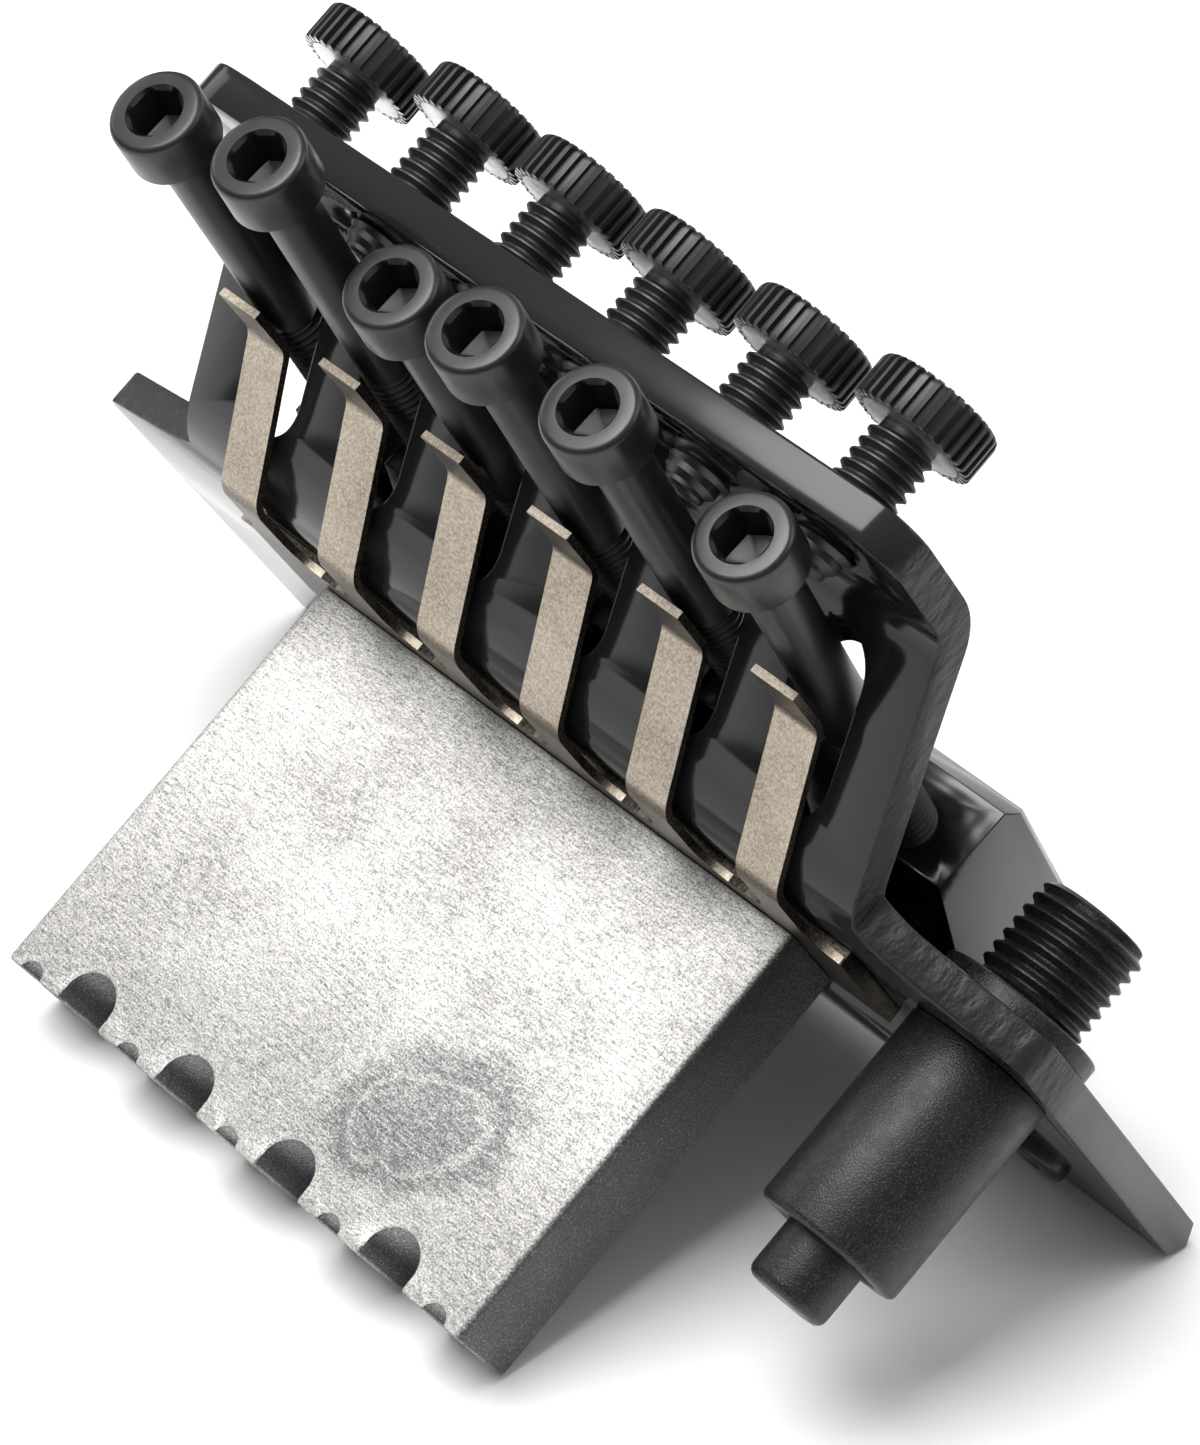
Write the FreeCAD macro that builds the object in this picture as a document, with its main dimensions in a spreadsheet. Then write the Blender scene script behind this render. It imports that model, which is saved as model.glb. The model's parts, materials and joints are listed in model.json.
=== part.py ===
import FreeCAD, Part
import os
import re

import Sketcher

# A double-locking guitar tremolo bridge.
# +X is the treble side, +Y points to the neck and +Z up from the guitar's top.
# The origin is the middle of the knife-edge line, at half the plate's thickness.

STRINGS = 6
FLUTES = 36
BLOCK_SCREWS = 3
SPRING_GROOVES = 5
SIDES_OF_HEX = 6

# Driving sizes in millimetres and degrees. "setback" is a distance behind the knife-edge line.
SIZES = {
    # Fits shared by all pieces
    "fit_gap": 0.05,
    "seat_gap": 0.02,
    "overrun": 5.0,
    "string_pitch": 10.7,
    # Base plate, one bent sheet
    "plate_thickness": 3.0,
    "ear_margin": 6.9,
    "ear_back": 7.4,
    "flare_run": 5.6,
    "ear_corner_radius": 2.0,
    "knife_length": 16.0,
    "knife_relief": 1.8,
    "knife_bevel": 1.5,
    "ramp_margin": 7.75,
    "ramp_angle": 50.0,
    "ramp_setback": 43.8,
    "flange_rise": 16.7,
    "flange_depth": 11.987,
    "tail_corner_radius": 4.0,
    "foot_bend_radius": 4.0,
    "head_bend_radius": 3.0,
    "slot_width": 5.8,
    "slot_floor": 2.0,
    "slot_roof": 2.0,
    "spare_hole_step": 6.0,
    # Screws under the knife edges
    "edge_screw_inset": 10.5,
    "edge_screw_setback": 6.5,
    "edge_screw_diameter": 2.6,
    "edge_screw_head": 5.0,
    "edge_screw_head_height": 1.0,
    "edge_screw_dome": 0.6,
    "edge_screw_depth": 2.0,
    # Sustain block
    "block_width": 49.3,
    "block_offset": 1.8,
    "block_thickness": 8.4,
    "block_height": 35.4,
    "block_setback": 34.5,
    "block_edge_radius": 0.7,
    "groove_margin": 2.65,
    "groove_radius": 1.0,
    "notch_radius": 2.2,
    "notch_depth": 3.4,
    "block_screw_margin": 6.65,
    "block_screw_diameter": 4.0,
    "block_screw_head": 7.4,
    "block_screw_length": 13.0,
    "block_screw_sink": 0.15,
    "block_screw_hex": 2.5,
    "block_screw_recess": 1.4,
    # Leaf spring and its backing sheet
    "spring_thickness": 0.6,
    "spring_bass_margin": 2.75,
    "spring_treble_margin": 5.05,
    "spring_step": 2.1,
    "finger_width": 3.9,
    "finger_offset": 0.35,
    "finger_step": 0.2,
    "finger_angle": 45.0,
    "finger_rise": 9.3,
    "finger_reach": 14.4,
    "finger_foot_radius": 2.4,
    "finger_head_radius": 1.6,
    # Arm socket and its nut
    "arm_clearance": 2.65,
    "arm_setback": 29.6,
    "arm_shoulder": 0.4,
    "arm_thread_length": 7.9,
    "arm_thread_chamfer": 0.6,
    "arm_stem_wall": 1.0,
    "arm_bore_depth": 20.0,
    "arm_ring_step": 1.9,
    "arm_ring_thickness": 1.6,
    "arm_stem_recess": 0.5,
    "arm_stub_step": 0.85,
    "arm_stub_length": 4.5,
    "arm_stub_edge": 0.7,
    "arm_nut_diameter": 11.3,
    "arm_nut_wall": 1.65,
    "arm_nut_length": 16.2,
    "arm_nut_edge": 0.5,
    # Saddles: where each one stands and how far its lever is raised, from the bass side
    "pin_setback": 11.5,
    "pin_height": 3.3,
    "shift_1": 6.0,
    "shift_2": 7.8,
    "shift_3": 1.9,
    "shift_4": 6.2,
    "shift_5": 6.2,
    "shift_6": 0.0,
    "tilt_1": 3.9,
    "tilt_2": 4.9,
    "tilt_3": 3.9,
    "tilt_4": 3.9,
    "tilt_5": 3.9,
    "tilt_6": 3.9,
    "saddle_gap": 0.5,
    # Saddle base, with heights and lengths from the pivot pin
    "base_front": 10.0,
    "base_back": 4.0,
    "base_thickness": 1.75,
    "base_corner_radius": 1.2,
    "knuckle_radius": 2.2,
    "knuckle_width": 4.7,
    "base_slot_width": 3.6,
    "base_slot_travel": 1.4,
    "saddle_screw_reach": 7.0,
    "saddle_screw_diameter": 3.0,
    "saddle_screw_head": 5.5,
    "saddle_screw_head_height": 2.4,
    "saddle_screw_tail": 0.6,
    "saddle_screw_hex": 2.5,
    "saddle_screw_recess": 1.3,
    "pin_diameter": 2.5,
    "pin_inset": 0.2,
    "pin_chamfer": 0.3,
    # Saddle lever, from the pivot pin
    "lever_back": 21.5,
    "lever_nose": 2.6,
    "lever_top": 8.0,
    "lever_floor": 1.0,
    "bevel_length": 2.4,
    "bevel_height": 1.5,
    "belly_front": 5.0,
    "belly_back": 14.0,
    "belly_floor": 1.7,
    "tail_floor": 0.4,
    "lever_heel": 0.8,
    "lever_edge": 0.5,
    "shoulder_back": 7.0,
    "crest_back": 4.6,
    "crest_height": 5.6,
    "nose_radius": 1.8,
    "fork_width": 4.9,
    "fork_back": 3.6,
    "fork_height": 2.6,
    "cavity_width": 4.6,
    "cavity_front": 7.5,
    "cavity_length": 7.5,
    "cavity_floor": 0.2,
    "string_slot_width": 1.6,
    "string_slot_floor": 4.8,
    # String clamp and lock screw
    "clamp_gap": 0.1,
    "clamp_thickness": 3.6,
    "clamp_height": 6.6,
    "clamp_chamfer": 0.4,
    "lock_height": 2.2,
    "lock_past": 7.9,
    "lock_diameter": 4.0,
    "lock_tip_chamfer": 0.5,
    "lock_head_diameter": 6.8,
    "lock_head_height": 4.0,
    "lock_head_edge": 0.45,
    "lock_hex": 3.6,
    "lock_recess": 2.3,
    # Fine tuner
    "tuner_inset": 5.6,
    "tuner_gap": 0.35,
    "tuner_length": 10.8,
    "tuner_diameter": 5.0,
    "tuner_neck_diameter": 3.8,
    "tuner_neck_length": 0.4,
    "tuner_tip_diameter": 3.2,
    "tuner_tip_length": 1.7,
    "knob_gap": 1.4,
    "knob_thickness": 3.3,
    "knob_edge": 0.5,
    "flute_depth": 0.32,
    "flute_width": 0.6,
}

# Sizes that follow from the driving ones, as formulas of the sheet
FOLLOWING = {
    "string_span": f"{STRINGS - 1} * string_pitch",
    "saddle_width": "string_pitch - saddle_gap",
    "pin_length": "saddle_width - 2 * pin_inset",
    "knob_diameter": "string_pitch - knob_gap",
    "arm_stem_diameter": "arm_nut_diameter - 2 * arm_nut_wall",
    "arm_stub_diameter": "arm_stem_diameter - 2 * arm_stub_step",
    "arm_bore_diameter": "arm_stem_diameter - 2 * arm_stem_wall",
    "arm_thread_diameter": "arm_stem_diameter + 2 * arm_shoulder",
    "arm_ring_diameter": "arm_thread_diameter + 2 * arm_ring_step",
    "arm_side": "string_span / 2 + saddle_width / 2 + arm_clearance + arm_ring_diameter / 2",
    "plate_width": "2 * (arm_side + ear_margin)",
    "edge_screw_side": "plate_width / 2 - edge_screw_inset",
    "ear_setback": "arm_setback + ear_back",
    "flare_setback": "ear_setback + flare_run",
    "ramp_width": "string_span + 2 * ramp_margin",
    "tail_setback": "ramp_setback + flange_rise / tan(ramp_angle) + flange_depth",
    "slot_crown": "flange_rise - plate_thickness / 2 - slot_roof",
    "tuner_setback": "tail_setback - tuner_inset",
    "lock_reach": "tuner_setback - pin_setback + lock_past",
    "groove_pitch": f"(block_width - 2 * groove_margin) / {SPRING_GROOVES - 1}",
    "block_screw_pitch": f"(block_width - 2 * block_screw_margin) / {BLOCK_SCREWS - 1}",
    "spring_bass_end": "string_span / 2 + spring_bass_margin",
    "spring_treble_end": "string_span / 2 + spring_treble_margin",
    "spring_setback": "block_setback + spring_step",
    "finger_setback": "ramp_setback + finger_step",
    "tab_setback": "finger_setback + finger_reach",
}
CELLS = {**{name: str(number) for name, number in SIZES.items()},
         **{name: f"={text}" for name, text in FOLLOWING.items()}}

doc = FreeCAD.newDocument("tremolo_bridge")
sheet = doc.addObject("Spreadsheet::Sheet", "Sizes")
for line, name in enumerate(CELLS, start=1):
    sheet.set(f"A{line}", name)
    sheet.setAlias(f"B{line}", name)
for line, content in enumerate(CELLS.values(), start=1):
    sheet.set(f"B{line}", content)
doc.recompute()

nodes = []


# Helpers: formulas are written with the bare names of the sheet


def formula(text):
    """The formula with every size name pointed at the sheet."""
    return re.sub(r"[a-z]\w*", lambda word: f"Sizes.{word[0]}" if word[0] in CELLS else word[0], text)


def number_of(text):
    return float(sheet.evalExpression(formula(text)))


def bind(item, field, text):
    item.setExpression(field, formula(text))


def node(item):
    """Marks a finished sub-part, which is written to its own file."""
    nodes.append(item)
    return item


def new_body(label):
    body = doc.addObject("PartDesign::Body", label)
    body.Label = label
    return body


def new_sketch(body, role, **shift):
    """A sketch on one of the body's own planes, moved by formulas along the plane's x, y or z."""
    sketch = body.newObject("Sketcher::SketchObject", "sketch")
    plane = next(item for item in body.Origin.OriginFeatures if item.Role == role)
    sketch.AttachmentSupport = [(plane, "")]
    sketch.MapMode = "FlatFace"
    for axis, text in shift.items():
        bind(sketch, f"AttachmentOffset.Base.{axis}", text)
    return sketch


def pin_point(sketch, shape, point, place):
    """Ties a point of the sketch to a place given by two formulas."""
    for kind, axis, text in (("DistanceX", -2, place[0]), ("DistanceY", -1, place[1])):
        if text == "0":
            sketch.addConstraint(Sketcher.Constraint("PointOnObject", shape, point, axis))
            continue
        index = sketch.addConstraint(Sketcher.Constraint(kind, -1, 1, shape, point, number_of(text)))
        bind(sketch, f"Constraints[{index}]", text)


def outline(sketch, corners):
    """A closed outline of straight sides."""
    spots = [FreeCAD.Vector(number_of(u), number_of(v), 0) for u, v in corners]
    first = sketch.GeometryCount
    count = len(corners)
    for i in range(count):
        sketch.addGeometry(Part.LineSegment(spots[i], spots[(i + 1) % count]))
    for i in range(count):
        following = first + (i + 1) % count
        sketch.addConstraint(Sketcher.Constraint("Coincident", first + i, 2, following, 1))
    for i, corner in enumerate(corners):
        pin_point(sketch, first + i, 1, corner)


def rectangle(sketch, low, high):
    outline(sketch, [(low[0], low[1]), (high[0], low[1]), (high[0], high[1]), (low[0], high[1])])


def hexagon(sketch, width):
    """A hexagon round the sketch's origin, given its width across flats."""
    corner = f"{width} / 2 / cos(30)"
    outline(sketch, [(f"{corner} * cos({30 + 60 * i})", f"{corner} * sin({30 + 60 * i})")
                     for i in range(SIDES_OF_HEX)])


def circle(sketch, centre, radius):
    spot = FreeCAD.Vector(number_of(centre[0]), number_of(centre[1]), 0)
    shape = sketch.addGeometry(Part.Circle(spot, FreeCAD.Vector(0, 0, 1), number_of(radius)))
    pin_point(sketch, shape, 3, centre)
    index = sketch.addConstraint(Sketcher.Constraint("Radius", shape, number_of(radius)))
    bind(sketch, f"Constraints[{index}]", radius)


def slot(sketch, across, low, high, radius):
    """An upright slot with round ends: low and high are the centres of the ends."""
    x, bottom, top, r = (number_of(text) for text in (across, low, high, radius))
    up = FreeCAD.Vector(0, 0, 1)
    ends = []
    for height, start, stop in ((top, 0, 180), (bottom, 180, 360)):
        ring = Part.Circle(FreeCAD.Vector(x, height, 0), up, r)
        turn = [FreeCAD.Units.Quantity(f"{angle} deg").getValueAs("rad").Value for angle in (start, stop)]
        ends.append(sketch.addGeometry(Part.ArcOfCircle(ring, *turn)))
    sides = []
    for x_side, from_z, to_z in ((x - r, top, bottom), (x + r, bottom, top)):
        line = Part.LineSegment(FreeCAD.Vector(x_side, from_z, 0), FreeCAD.Vector(x_side, to_z, 0))
        sides.append(sketch.addGeometry(line))
    chain = (ends[0], sides[0], ends[1], sides[1])
    for i, shape in enumerate(chain):
        sketch.addConstraint(Sketcher.Constraint("Tangent", shape, 2, chain[(i + 1) % len(chain)], 1))
    pin_point(sketch, ends[0], 3, (across, high))
    pin_point(sketch, ends[1], 3, (across, low))
    index = sketch.addConstraint(Sketcher.Constraint("Radius", ends[0], r))
    bind(sketch, f"Constraints[{index}]", radius)


def pad(body, sketch, length, midplane=False, back=False):
    feature = body.newObject("PartDesign::Pad", "pad")
    feature.Profile = sketch
    bind(feature, "Length", length)
    feature.Midplane = midplane
    feature.Reversed = back
    doc.recompute()
    return feature


def pocket(body, sketch, length=None, midplane=False, back=False):
    """A cut along the sketch's normal, right through where no length is given."""
    doc.recompute()
    before = body.Shape.Volume
    feature = body.newObject("PartDesign::Pocket", "pocket")
    feature.Profile = sketch
    if length is None:
        feature.Type = "ThroughAll"
    else:
        bind(feature, "Length", length)
    feature.Midplane = midplane
    feature.Reversed = back
    doc.recompute()
    if not body.Shape.Volume < before:
        raise RuntimeError(f"{body.Label}: a pocket cuts nothing")
    return feature


def row(body, feature, sketch, length, count):
    """Repeats a feature along the sketch's horizontal axis."""
    pattern = body.newObject("PartDesign::LinearPattern", "row")
    pattern.Originals = [feature]
    pattern.Direction = (sketch, ["H_Axis"])
    bind(pattern, "Length", length)
    pattern.Occurrences = count
    body.Tip = pattern
    doc.recompute()
    return pattern


def turn(body, sketch, axis):
    """Turns a half profile round one of the sketch's axes."""
    feature = body.newObject("PartDesign::Revolution", "turned")
    feature.Profile = sketch
    feature.ReferenceAxis = (sketch, [axis])
    feature.Angle = 360
    doc.recompute()
    return feature


def dress(body, kind, field, text, wanted):
    """A fillet or chamfer on the edges that the test picks."""
    doc.recompute()
    base = body.Tip
    names = [f"Edge{i}" for i, edge in enumerate(base.Shape.Edges, start=1) if wanted(edge)]
    if not names:
        raise RuntimeError(f"{body.Label}: no edge to dress")
    feature = body.newObject(f"PartDesign::{kind}", kind.lower())
    feature.Base = (base, names)
    bind(feature, field, text)
    doc.recompute()
    return feature


def fillet(body, radius, wanted):
    return dress(body, "Fillet", "Radius", radius, wanted)


def chamfer(body, size, wanted):
    return dress(body, "Chamfer", "Size", size, wanted)


def near(a, b):
    return abs(a - b) < SIZES["seat_gap"] / 2


def straight(edge, axis):
    """True for a straight edge along one of the axes 0, 1 or 2."""
    if edge.Curve.TypeId != "Part::GeomLine":
        return False
    direction = edge.tangentAt(edge.FirstParameter)
    return near(abs(direction[axis]), 1)


def at(edge, **place):
    """True where the middle of the edge's box is at the places given by formulas."""
    centre = edge.BoundBox.Center
    return all(near(getattr(centre, axis), number_of(text)) for axis, text in place.items())


def place(item, x="0", y="0", z="0"):
    for axis, text in (("x", x), ("y", y), ("z", z)):
        bind(item, f"Placement.Base.{axis}", text)


# Levels and places that several pieces share

PLATE_TOP = "(plate_thickness / 2)"
PLATE_UNDER = "(-plate_thickness / 2)"
FLANGE_UNDER = f"({PLATE_UNDER} + flange_rise)"
FLANGE_TOP = f"({PLATE_TOP} + flange_rise)"
SHEETS = "(2 * spring_thickness)"
BLOCK_TOP = f"({PLATE_UNDER} - {SHEETS})"
BLOCK_MIDDLE = "(-block_setback + block_thickness / 2)"
PIN_Z = f"({PLATE_TOP} + pin_height)"


def string_x(k):
    return f"({k - (STRINGS + 1) / 2} * string_pitch)"


def pin_y(k):
    return f"(-pin_setback - shift_{k})"


def screw_x(i):
    return f"(block_offset + {i - (BLOCK_SCREWS - 1) / 2} * block_screw_pitch)"


def holes_for_block_screws(sketch):
    for i in range(BLOCK_SCREWS):
        circle(sketch, (screw_x(i), BLOCK_MIDDLE), "block_screw_diameter / 2 + fit_gap")


# Base plate


def base_plate():
    body = new_body("base_plate")
    shift = "plate_thickness * tan(ramp_angle / 2)"
    head = "(ramp_setback + flange_rise / tan(ramp_angle))"

    profile = new_sketch(body, "YZ_Plane")
    outline(profile, [
        ("0", PLATE_UNDER),
        ("-ramp_setback", PLATE_UNDER),
        (f"-{head}", FLANGE_UNDER),
        ("-tail_setback", FLANGE_UNDER),
        ("-tail_setback", FLANGE_TOP),
        (f"-{head} + {shift}", FLANGE_TOP),
        (f"-ramp_setback + {shift}", PLATE_TOP),
        ("0", PLATE_TOP),
    ])
    pad(body, profile, "plate_width", midplane=True)

    for y, z, radius in (
        ("-ramp_setback", PLATE_UNDER, "foot_bend_radius + plate_thickness"),
        (f"-ramp_setback + {shift}", PLATE_TOP, "foot_bend_radius"),
        (f"-{head}", FLANGE_UNDER, "head_bend_radius"),
        (f"-{head} + {shift}", FLANGE_TOP, "head_bend_radius + plate_thickness"),
    ):
        fillet(body, radius, lambda edge: straight(edge, 0) and at(edge, y=y, z=z))
    half, outside, behind = "plate_width / 2", "plate_width / 2 + overrun", "-tail_setback - overrun"
    treble = [
        ("ramp_width / 2", behind),
        ("ramp_width / 2", "-flare_setback"),
        (half, "-ear_setback"),
        (outside, "-ear_setback"),
        (outside, behind),
    ]
    inner = "plate_width / 2 - knife_length"
    trim = new_sketch(body, "XY_Plane")
    outline(trim, treble)
    outline(trim, [(f"-({u})", v) for u, v in treble])
    rectangle(trim, (f"-({inner})", "-knife_relief"), (inner, "overrun"))
    pocket(body, trim, midplane=True)
    fillet(body, "tail_corner_radius", lambda edge: straight(edge, 2) and at(edge, y="-tail_setback"))
    fillet(body, "ear_corner_radius", lambda edge: straight(edge, 2) and at(edge, y="-ear_setback"))

    edge_cut = new_sketch(body, "YZ_Plane")
    outline(edge_cut, [
        ("0", "0"),
        ("-knife_bevel", PLATE_TOP),
        ("overrun", PLATE_TOP),
        ("overrun", PLATE_UNDER),
        ("-knife_bevel", PLATE_UNDER),
    ])
    pocket(body, edge_cut, midplane=True)

    slots = new_sketch(body, "XZ_Plane")
    slot(slots, string_x(1), "slot_floor + slot_width / 2", "slot_crown - slot_width / 2", "slot_width / 2")
    first = pocket(body, slots, midplane=True)
    row(body, first, slots, "string_span", STRINGS)

    tuner_holes = new_sketch(body, "XY_Plane")
    circle(tuner_holes, (string_x(1), "-tuner_setback"), "tuner_diameter / 2 + fit_gap")
    first = pocket(body, tuner_holes, midplane=True)
    row(body, first, tuner_holes, "string_span", STRINGS)

    screw_holes = new_sketch(body, "XY_Plane")
    for k in range(1, STRINGS + 1):
        used = f"{pin_y(k)} + saddle_screw_reach"
        for y in (used, f"{used} - spare_hole_step"):
            circle(screw_holes, (string_x(k), y), "saddle_screw_diameter / 2 + fit_gap")
    circle(screw_holes, ("arm_side", "-arm_setback"), "arm_thread_diameter / 2 + fit_gap")
    pocket(body, screw_holes, midplane=True)

    edge_holes = new_sketch(body, "XY_Plane", z=PLATE_UNDER)
    for side in ("edge_screw_side", "-edge_screw_side"):
        circle(edge_holes, (side, "-edge_screw_setback"), "edge_screw_diameter / 2 + fit_gap")
    pocket(body, edge_holes, "edge_screw_depth", back=True)

    block_holes = new_sketch(body, "XY_Plane")
    holes_for_block_screws(block_holes)
    pocket(body, block_holes, midplane=True)
    chamfer(body, "(block_screw_head - block_screw_diameter) / 2 + block_screw_sink",
            lambda edge: at(edge, y=BLOCK_MIDDLE, z=PLATE_TOP) and edge.Closed)
    return node(body)


# Sustain block and its screws


def sustain_block():
    body = new_body("sustain_block")
    top = new_sketch(body, "XY_Plane", z=BLOCK_TOP)
    rectangle(top, ("block_offset - block_width / 2", "-block_setback"),
              ("block_offset + block_width / 2", "-block_setback + block_thickness"))
    pad(body, top, "block_height", back=True)
    fillet(body, "block_edge_radius", lambda edge: straight(edge, 2))

    bottom = f"({BLOCK_TOP} - block_height)"
    reach = f"groove_pitch * {(SPRING_GROOVES - 1) / 2}"
    grooves = new_sketch(body, "XZ_Plane")
    circle(grooves, (f"block_offset - {reach}", bottom), "groove_radius")
    first = pocket(body, grooves, midplane=True)
    row(body, first, grooves, f"groove_pitch * {SPRING_GROOVES - 1}", SPRING_GROOVES)

    notches = new_sketch(body, "XZ_Plane")
    slot(notches, f"block_offset - {reach} + groove_pitch / 2", f"{bottom} - overrun",
         f"{bottom} + notch_depth - notch_radius", "notch_radius")
    first = pocket(body, notches, midplane=True)
    row(body, first, notches, f"groove_pitch * {SPRING_GROOVES - 2}", SPRING_GROOVES - 1)

    holes = new_sketch(body, "XY_Plane", z=BLOCK_TOP)
    holes_for_block_screws(holes)
    pocket(body, holes, "block_screw_length")
    return node(body)


def turned_screw(label, profile, hex_width, recess, top):
    """A screw turned round its own upright axis, with a hexagon recess in its top face."""
    body = new_body(label)
    half = new_sketch(body, "XZ_Plane")
    outline(half, profile)
    turn(body, half, "V_Axis")
    key = new_sketch(body, "XY_Plane", z=top)
    hexagon(key, hex_width)
    pocket(body, key, recess)
    return body


def group(label, bodies):
    """Identical fasteners share one sub-part as separate solids."""
    compound = doc.addObject("Part::Compound", label)
    compound.Label = label
    compound.Links = bodies
    return node(compound)


def block_screws():
    top = f"({PLATE_TOP} - block_screw_sink)"
    cone = "(block_screw_head - block_screw_diameter) / 2"
    profile = [
        ("0", f"{top} - block_screw_length"),
        ("block_screw_diameter / 2", f"{top} - block_screw_length"),
        ("block_screw_diameter / 2", f"{top} - {cone}"),
        ("block_screw_head / 2", top),
        ("0", top),
    ]
    screws = []
    for i in range(BLOCK_SCREWS):
        screw = turned_screw(f"block_screw_{i + 1}", profile, "block_screw_hex", "block_screw_recess", top)
        place(screw, x=screw_x(i), y=BLOCK_MIDDLE)
        screws.append(screw)
    return group("block_screws", screws)


# Screws that hold the knife edges from below


def edge_screws():
    low = f"({PLATE_UNDER} - edge_screw_head_height)"
    profile = [
        ("0", low),
        ("edge_screw_head / 2 - edge_screw_dome", low),
        ("edge_screw_head / 2", f"{low} + edge_screw_dome"),
        ("edge_screw_head / 2", PLATE_UNDER),
        ("edge_screw_diameter / 2", PLATE_UNDER),
        ("edge_screw_diameter / 2", f"{PLATE_UNDER} + edge_screw_depth"),
        ("0", f"{PLATE_UNDER} + edge_screw_depth"),
    ]
    screws = []
    for name, side in (("bass", "-edge_screw_side"), ("treble", "edge_screw_side")):
        screw = new_body(f"edge_screw_{name}")
        half = new_sketch(screw, "XZ_Plane")
        outline(half, profile)
        turn(screw, half, "V_Axis")
        place(screw, x=side, y="-edge_screw_setback")
        screws.append(screw)
    return group("edge_screws", screws)


# Leaf spring: a comb of six fingers, stacked with a plain backing sheet


def spring_strip(body, level):
    """The strip that is held between the block and the plate, with its top face at the level."""
    strip = new_sketch(body, "XY_Plane", z=level)
    rectangle(strip, ("-spring_bass_end", "-spring_setback"),
              ("spring_treble_end", "-block_setback + block_thickness"))
    holes_for_block_screws(strip)
    pad(body, strip, "spring_thickness", back=True)


def spring_backing():
    body = new_body("spring_backing")
    spring_strip(body, PLATE_UNDER)
    return node(body)


def leaf_spring():
    body = new_body("leaf_spring")
    level = f"({PLATE_UNDER} - spring_thickness)"
    spring_strip(body, level)

    under = BLOCK_TOP
    shift = "spring_thickness * tan(finger_angle / 2)"
    head = "(finger_setback + finger_rise / tan(finger_angle))"
    profile = new_sketch(body, "YZ_Plane", z=f"{string_x(1)} + finger_offset")
    outline(profile, [
        ("-spring_setback", under),
        ("-finger_setback", under),
        (f"-{head}", f"{under} + finger_rise"),
        ("-tab_setback", f"{under} + finger_rise"),
        ("-tab_setback", f"{level} + finger_rise"),
        (f"-{head} + {shift}", f"{level} + finger_rise"),
        (f"-finger_setback + {shift}", level),
        ("-spring_setback", level),
    ])
    finger = pad(body, profile, "finger_width", midplane=True)
    axis_sketch = new_sketch(body, "XY_Plane")
    row(body, finger, axis_sketch, "string_span", STRINGS)
    for y, z, radius in (
        ("-finger_setback", under, "finger_foot_radius + spring_thickness"),
        (f"-finger_setback + {shift}", level, "finger_foot_radius"),
        (f"-{head}", f"{under} + finger_rise", "finger_head_radius"),
        (f"-{head} + {shift}", f"{level} + finger_rise", "finger_head_radius + spring_thickness"),
    ):
        fillet(body, radius, lambda edge: straight(edge, 0) and at(edge, y=y, z=z))
    return node(body)


# Arm socket, a turned tube held by a long round nut under the plate


def arm_socket():
    body = new_body("arm_socket")
    nut_end = f"({PLATE_UNDER} - arm_nut_length)"
    ring_top = f"({PLATE_TOP} + arm_ring_thickness)"
    top = f"({ring_top} + arm_thread_length)"
    stub = "arm_stub_diameter / 2"
    stem = "arm_stem_diameter / 2"
    thread = "arm_thread_diameter / 2"
    half = new_sketch(body, "XZ_Plane")
    outline(half, [
        ("0", f"{nut_end} - arm_stub_length"),
        (f"{stub} - arm_stub_edge", f"{nut_end} - arm_stub_length"),
        (stub, f"{nut_end} - arm_stub_length + arm_stub_edge"),
        (stub, f"{nut_end} + arm_stem_recess"),
        (stem, f"{nut_end} + arm_stem_recess"),
        (stem, f"{PLATE_UNDER}"),
        (thread, f"{PLATE_UNDER}"),
        (thread, PLATE_TOP),
        ("arm_ring_diameter / 2", PLATE_TOP),
        ("arm_ring_diameter / 2", ring_top),
        (thread, ring_top),
        (thread, f"{top} - arm_thread_chamfer"),
        (f"{thread} - arm_thread_chamfer", top),
        ("arm_bore_diameter / 2", top),
        ("arm_bore_diameter / 2", f"{top} - arm_bore_depth"),
        ("0", f"{top} - arm_bore_depth"),
    ])
    turn(body, half, "V_Axis")
    place(body, x="arm_side", y="-arm_setback")
    return node(body)


def arm_socket_nut():
    body = new_body("arm_socket_nut")
    low = f"({PLATE_UNDER} - arm_nut_length)"
    bore = "arm_stem_diameter / 2 + fit_gap"
    half = new_sketch(body, "XZ_Plane")
    outline(half, [
        (bore, low),
        ("arm_nut_diameter / 2 - arm_nut_edge", low),
        ("arm_nut_diameter / 2", f"{low} + arm_nut_edge"),
        ("arm_nut_diameter / 2", PLATE_UNDER),
        (bore, PLATE_UNDER),
    ])
    turn(body, half, "V_Axis")
    place(body, x="arm_side", y="-arm_setback")
    return node(body)


# Saddles: a base that slides on the plate and a lever that tilts on the base's pin


def on_pin(body, k):
    """Puts a piece of saddle k at its pivot pin."""
    place(body, x=string_x(k), y=pin_y(k), z=PIN_Z)


def on_lever(body, k):
    """Puts a piece at the pivot pin and raises its rear as far as the lever of saddle k."""
    body.Placement = FreeCAD.Placement(FreeCAD.Vector(), FreeCAD.Rotation(FreeCAD.Vector(-1, 0, 0), 1))
    on_pin(body, k)
    bind(body, "Placement.Rotation.Angle", f"tilt_{k}")


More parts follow.
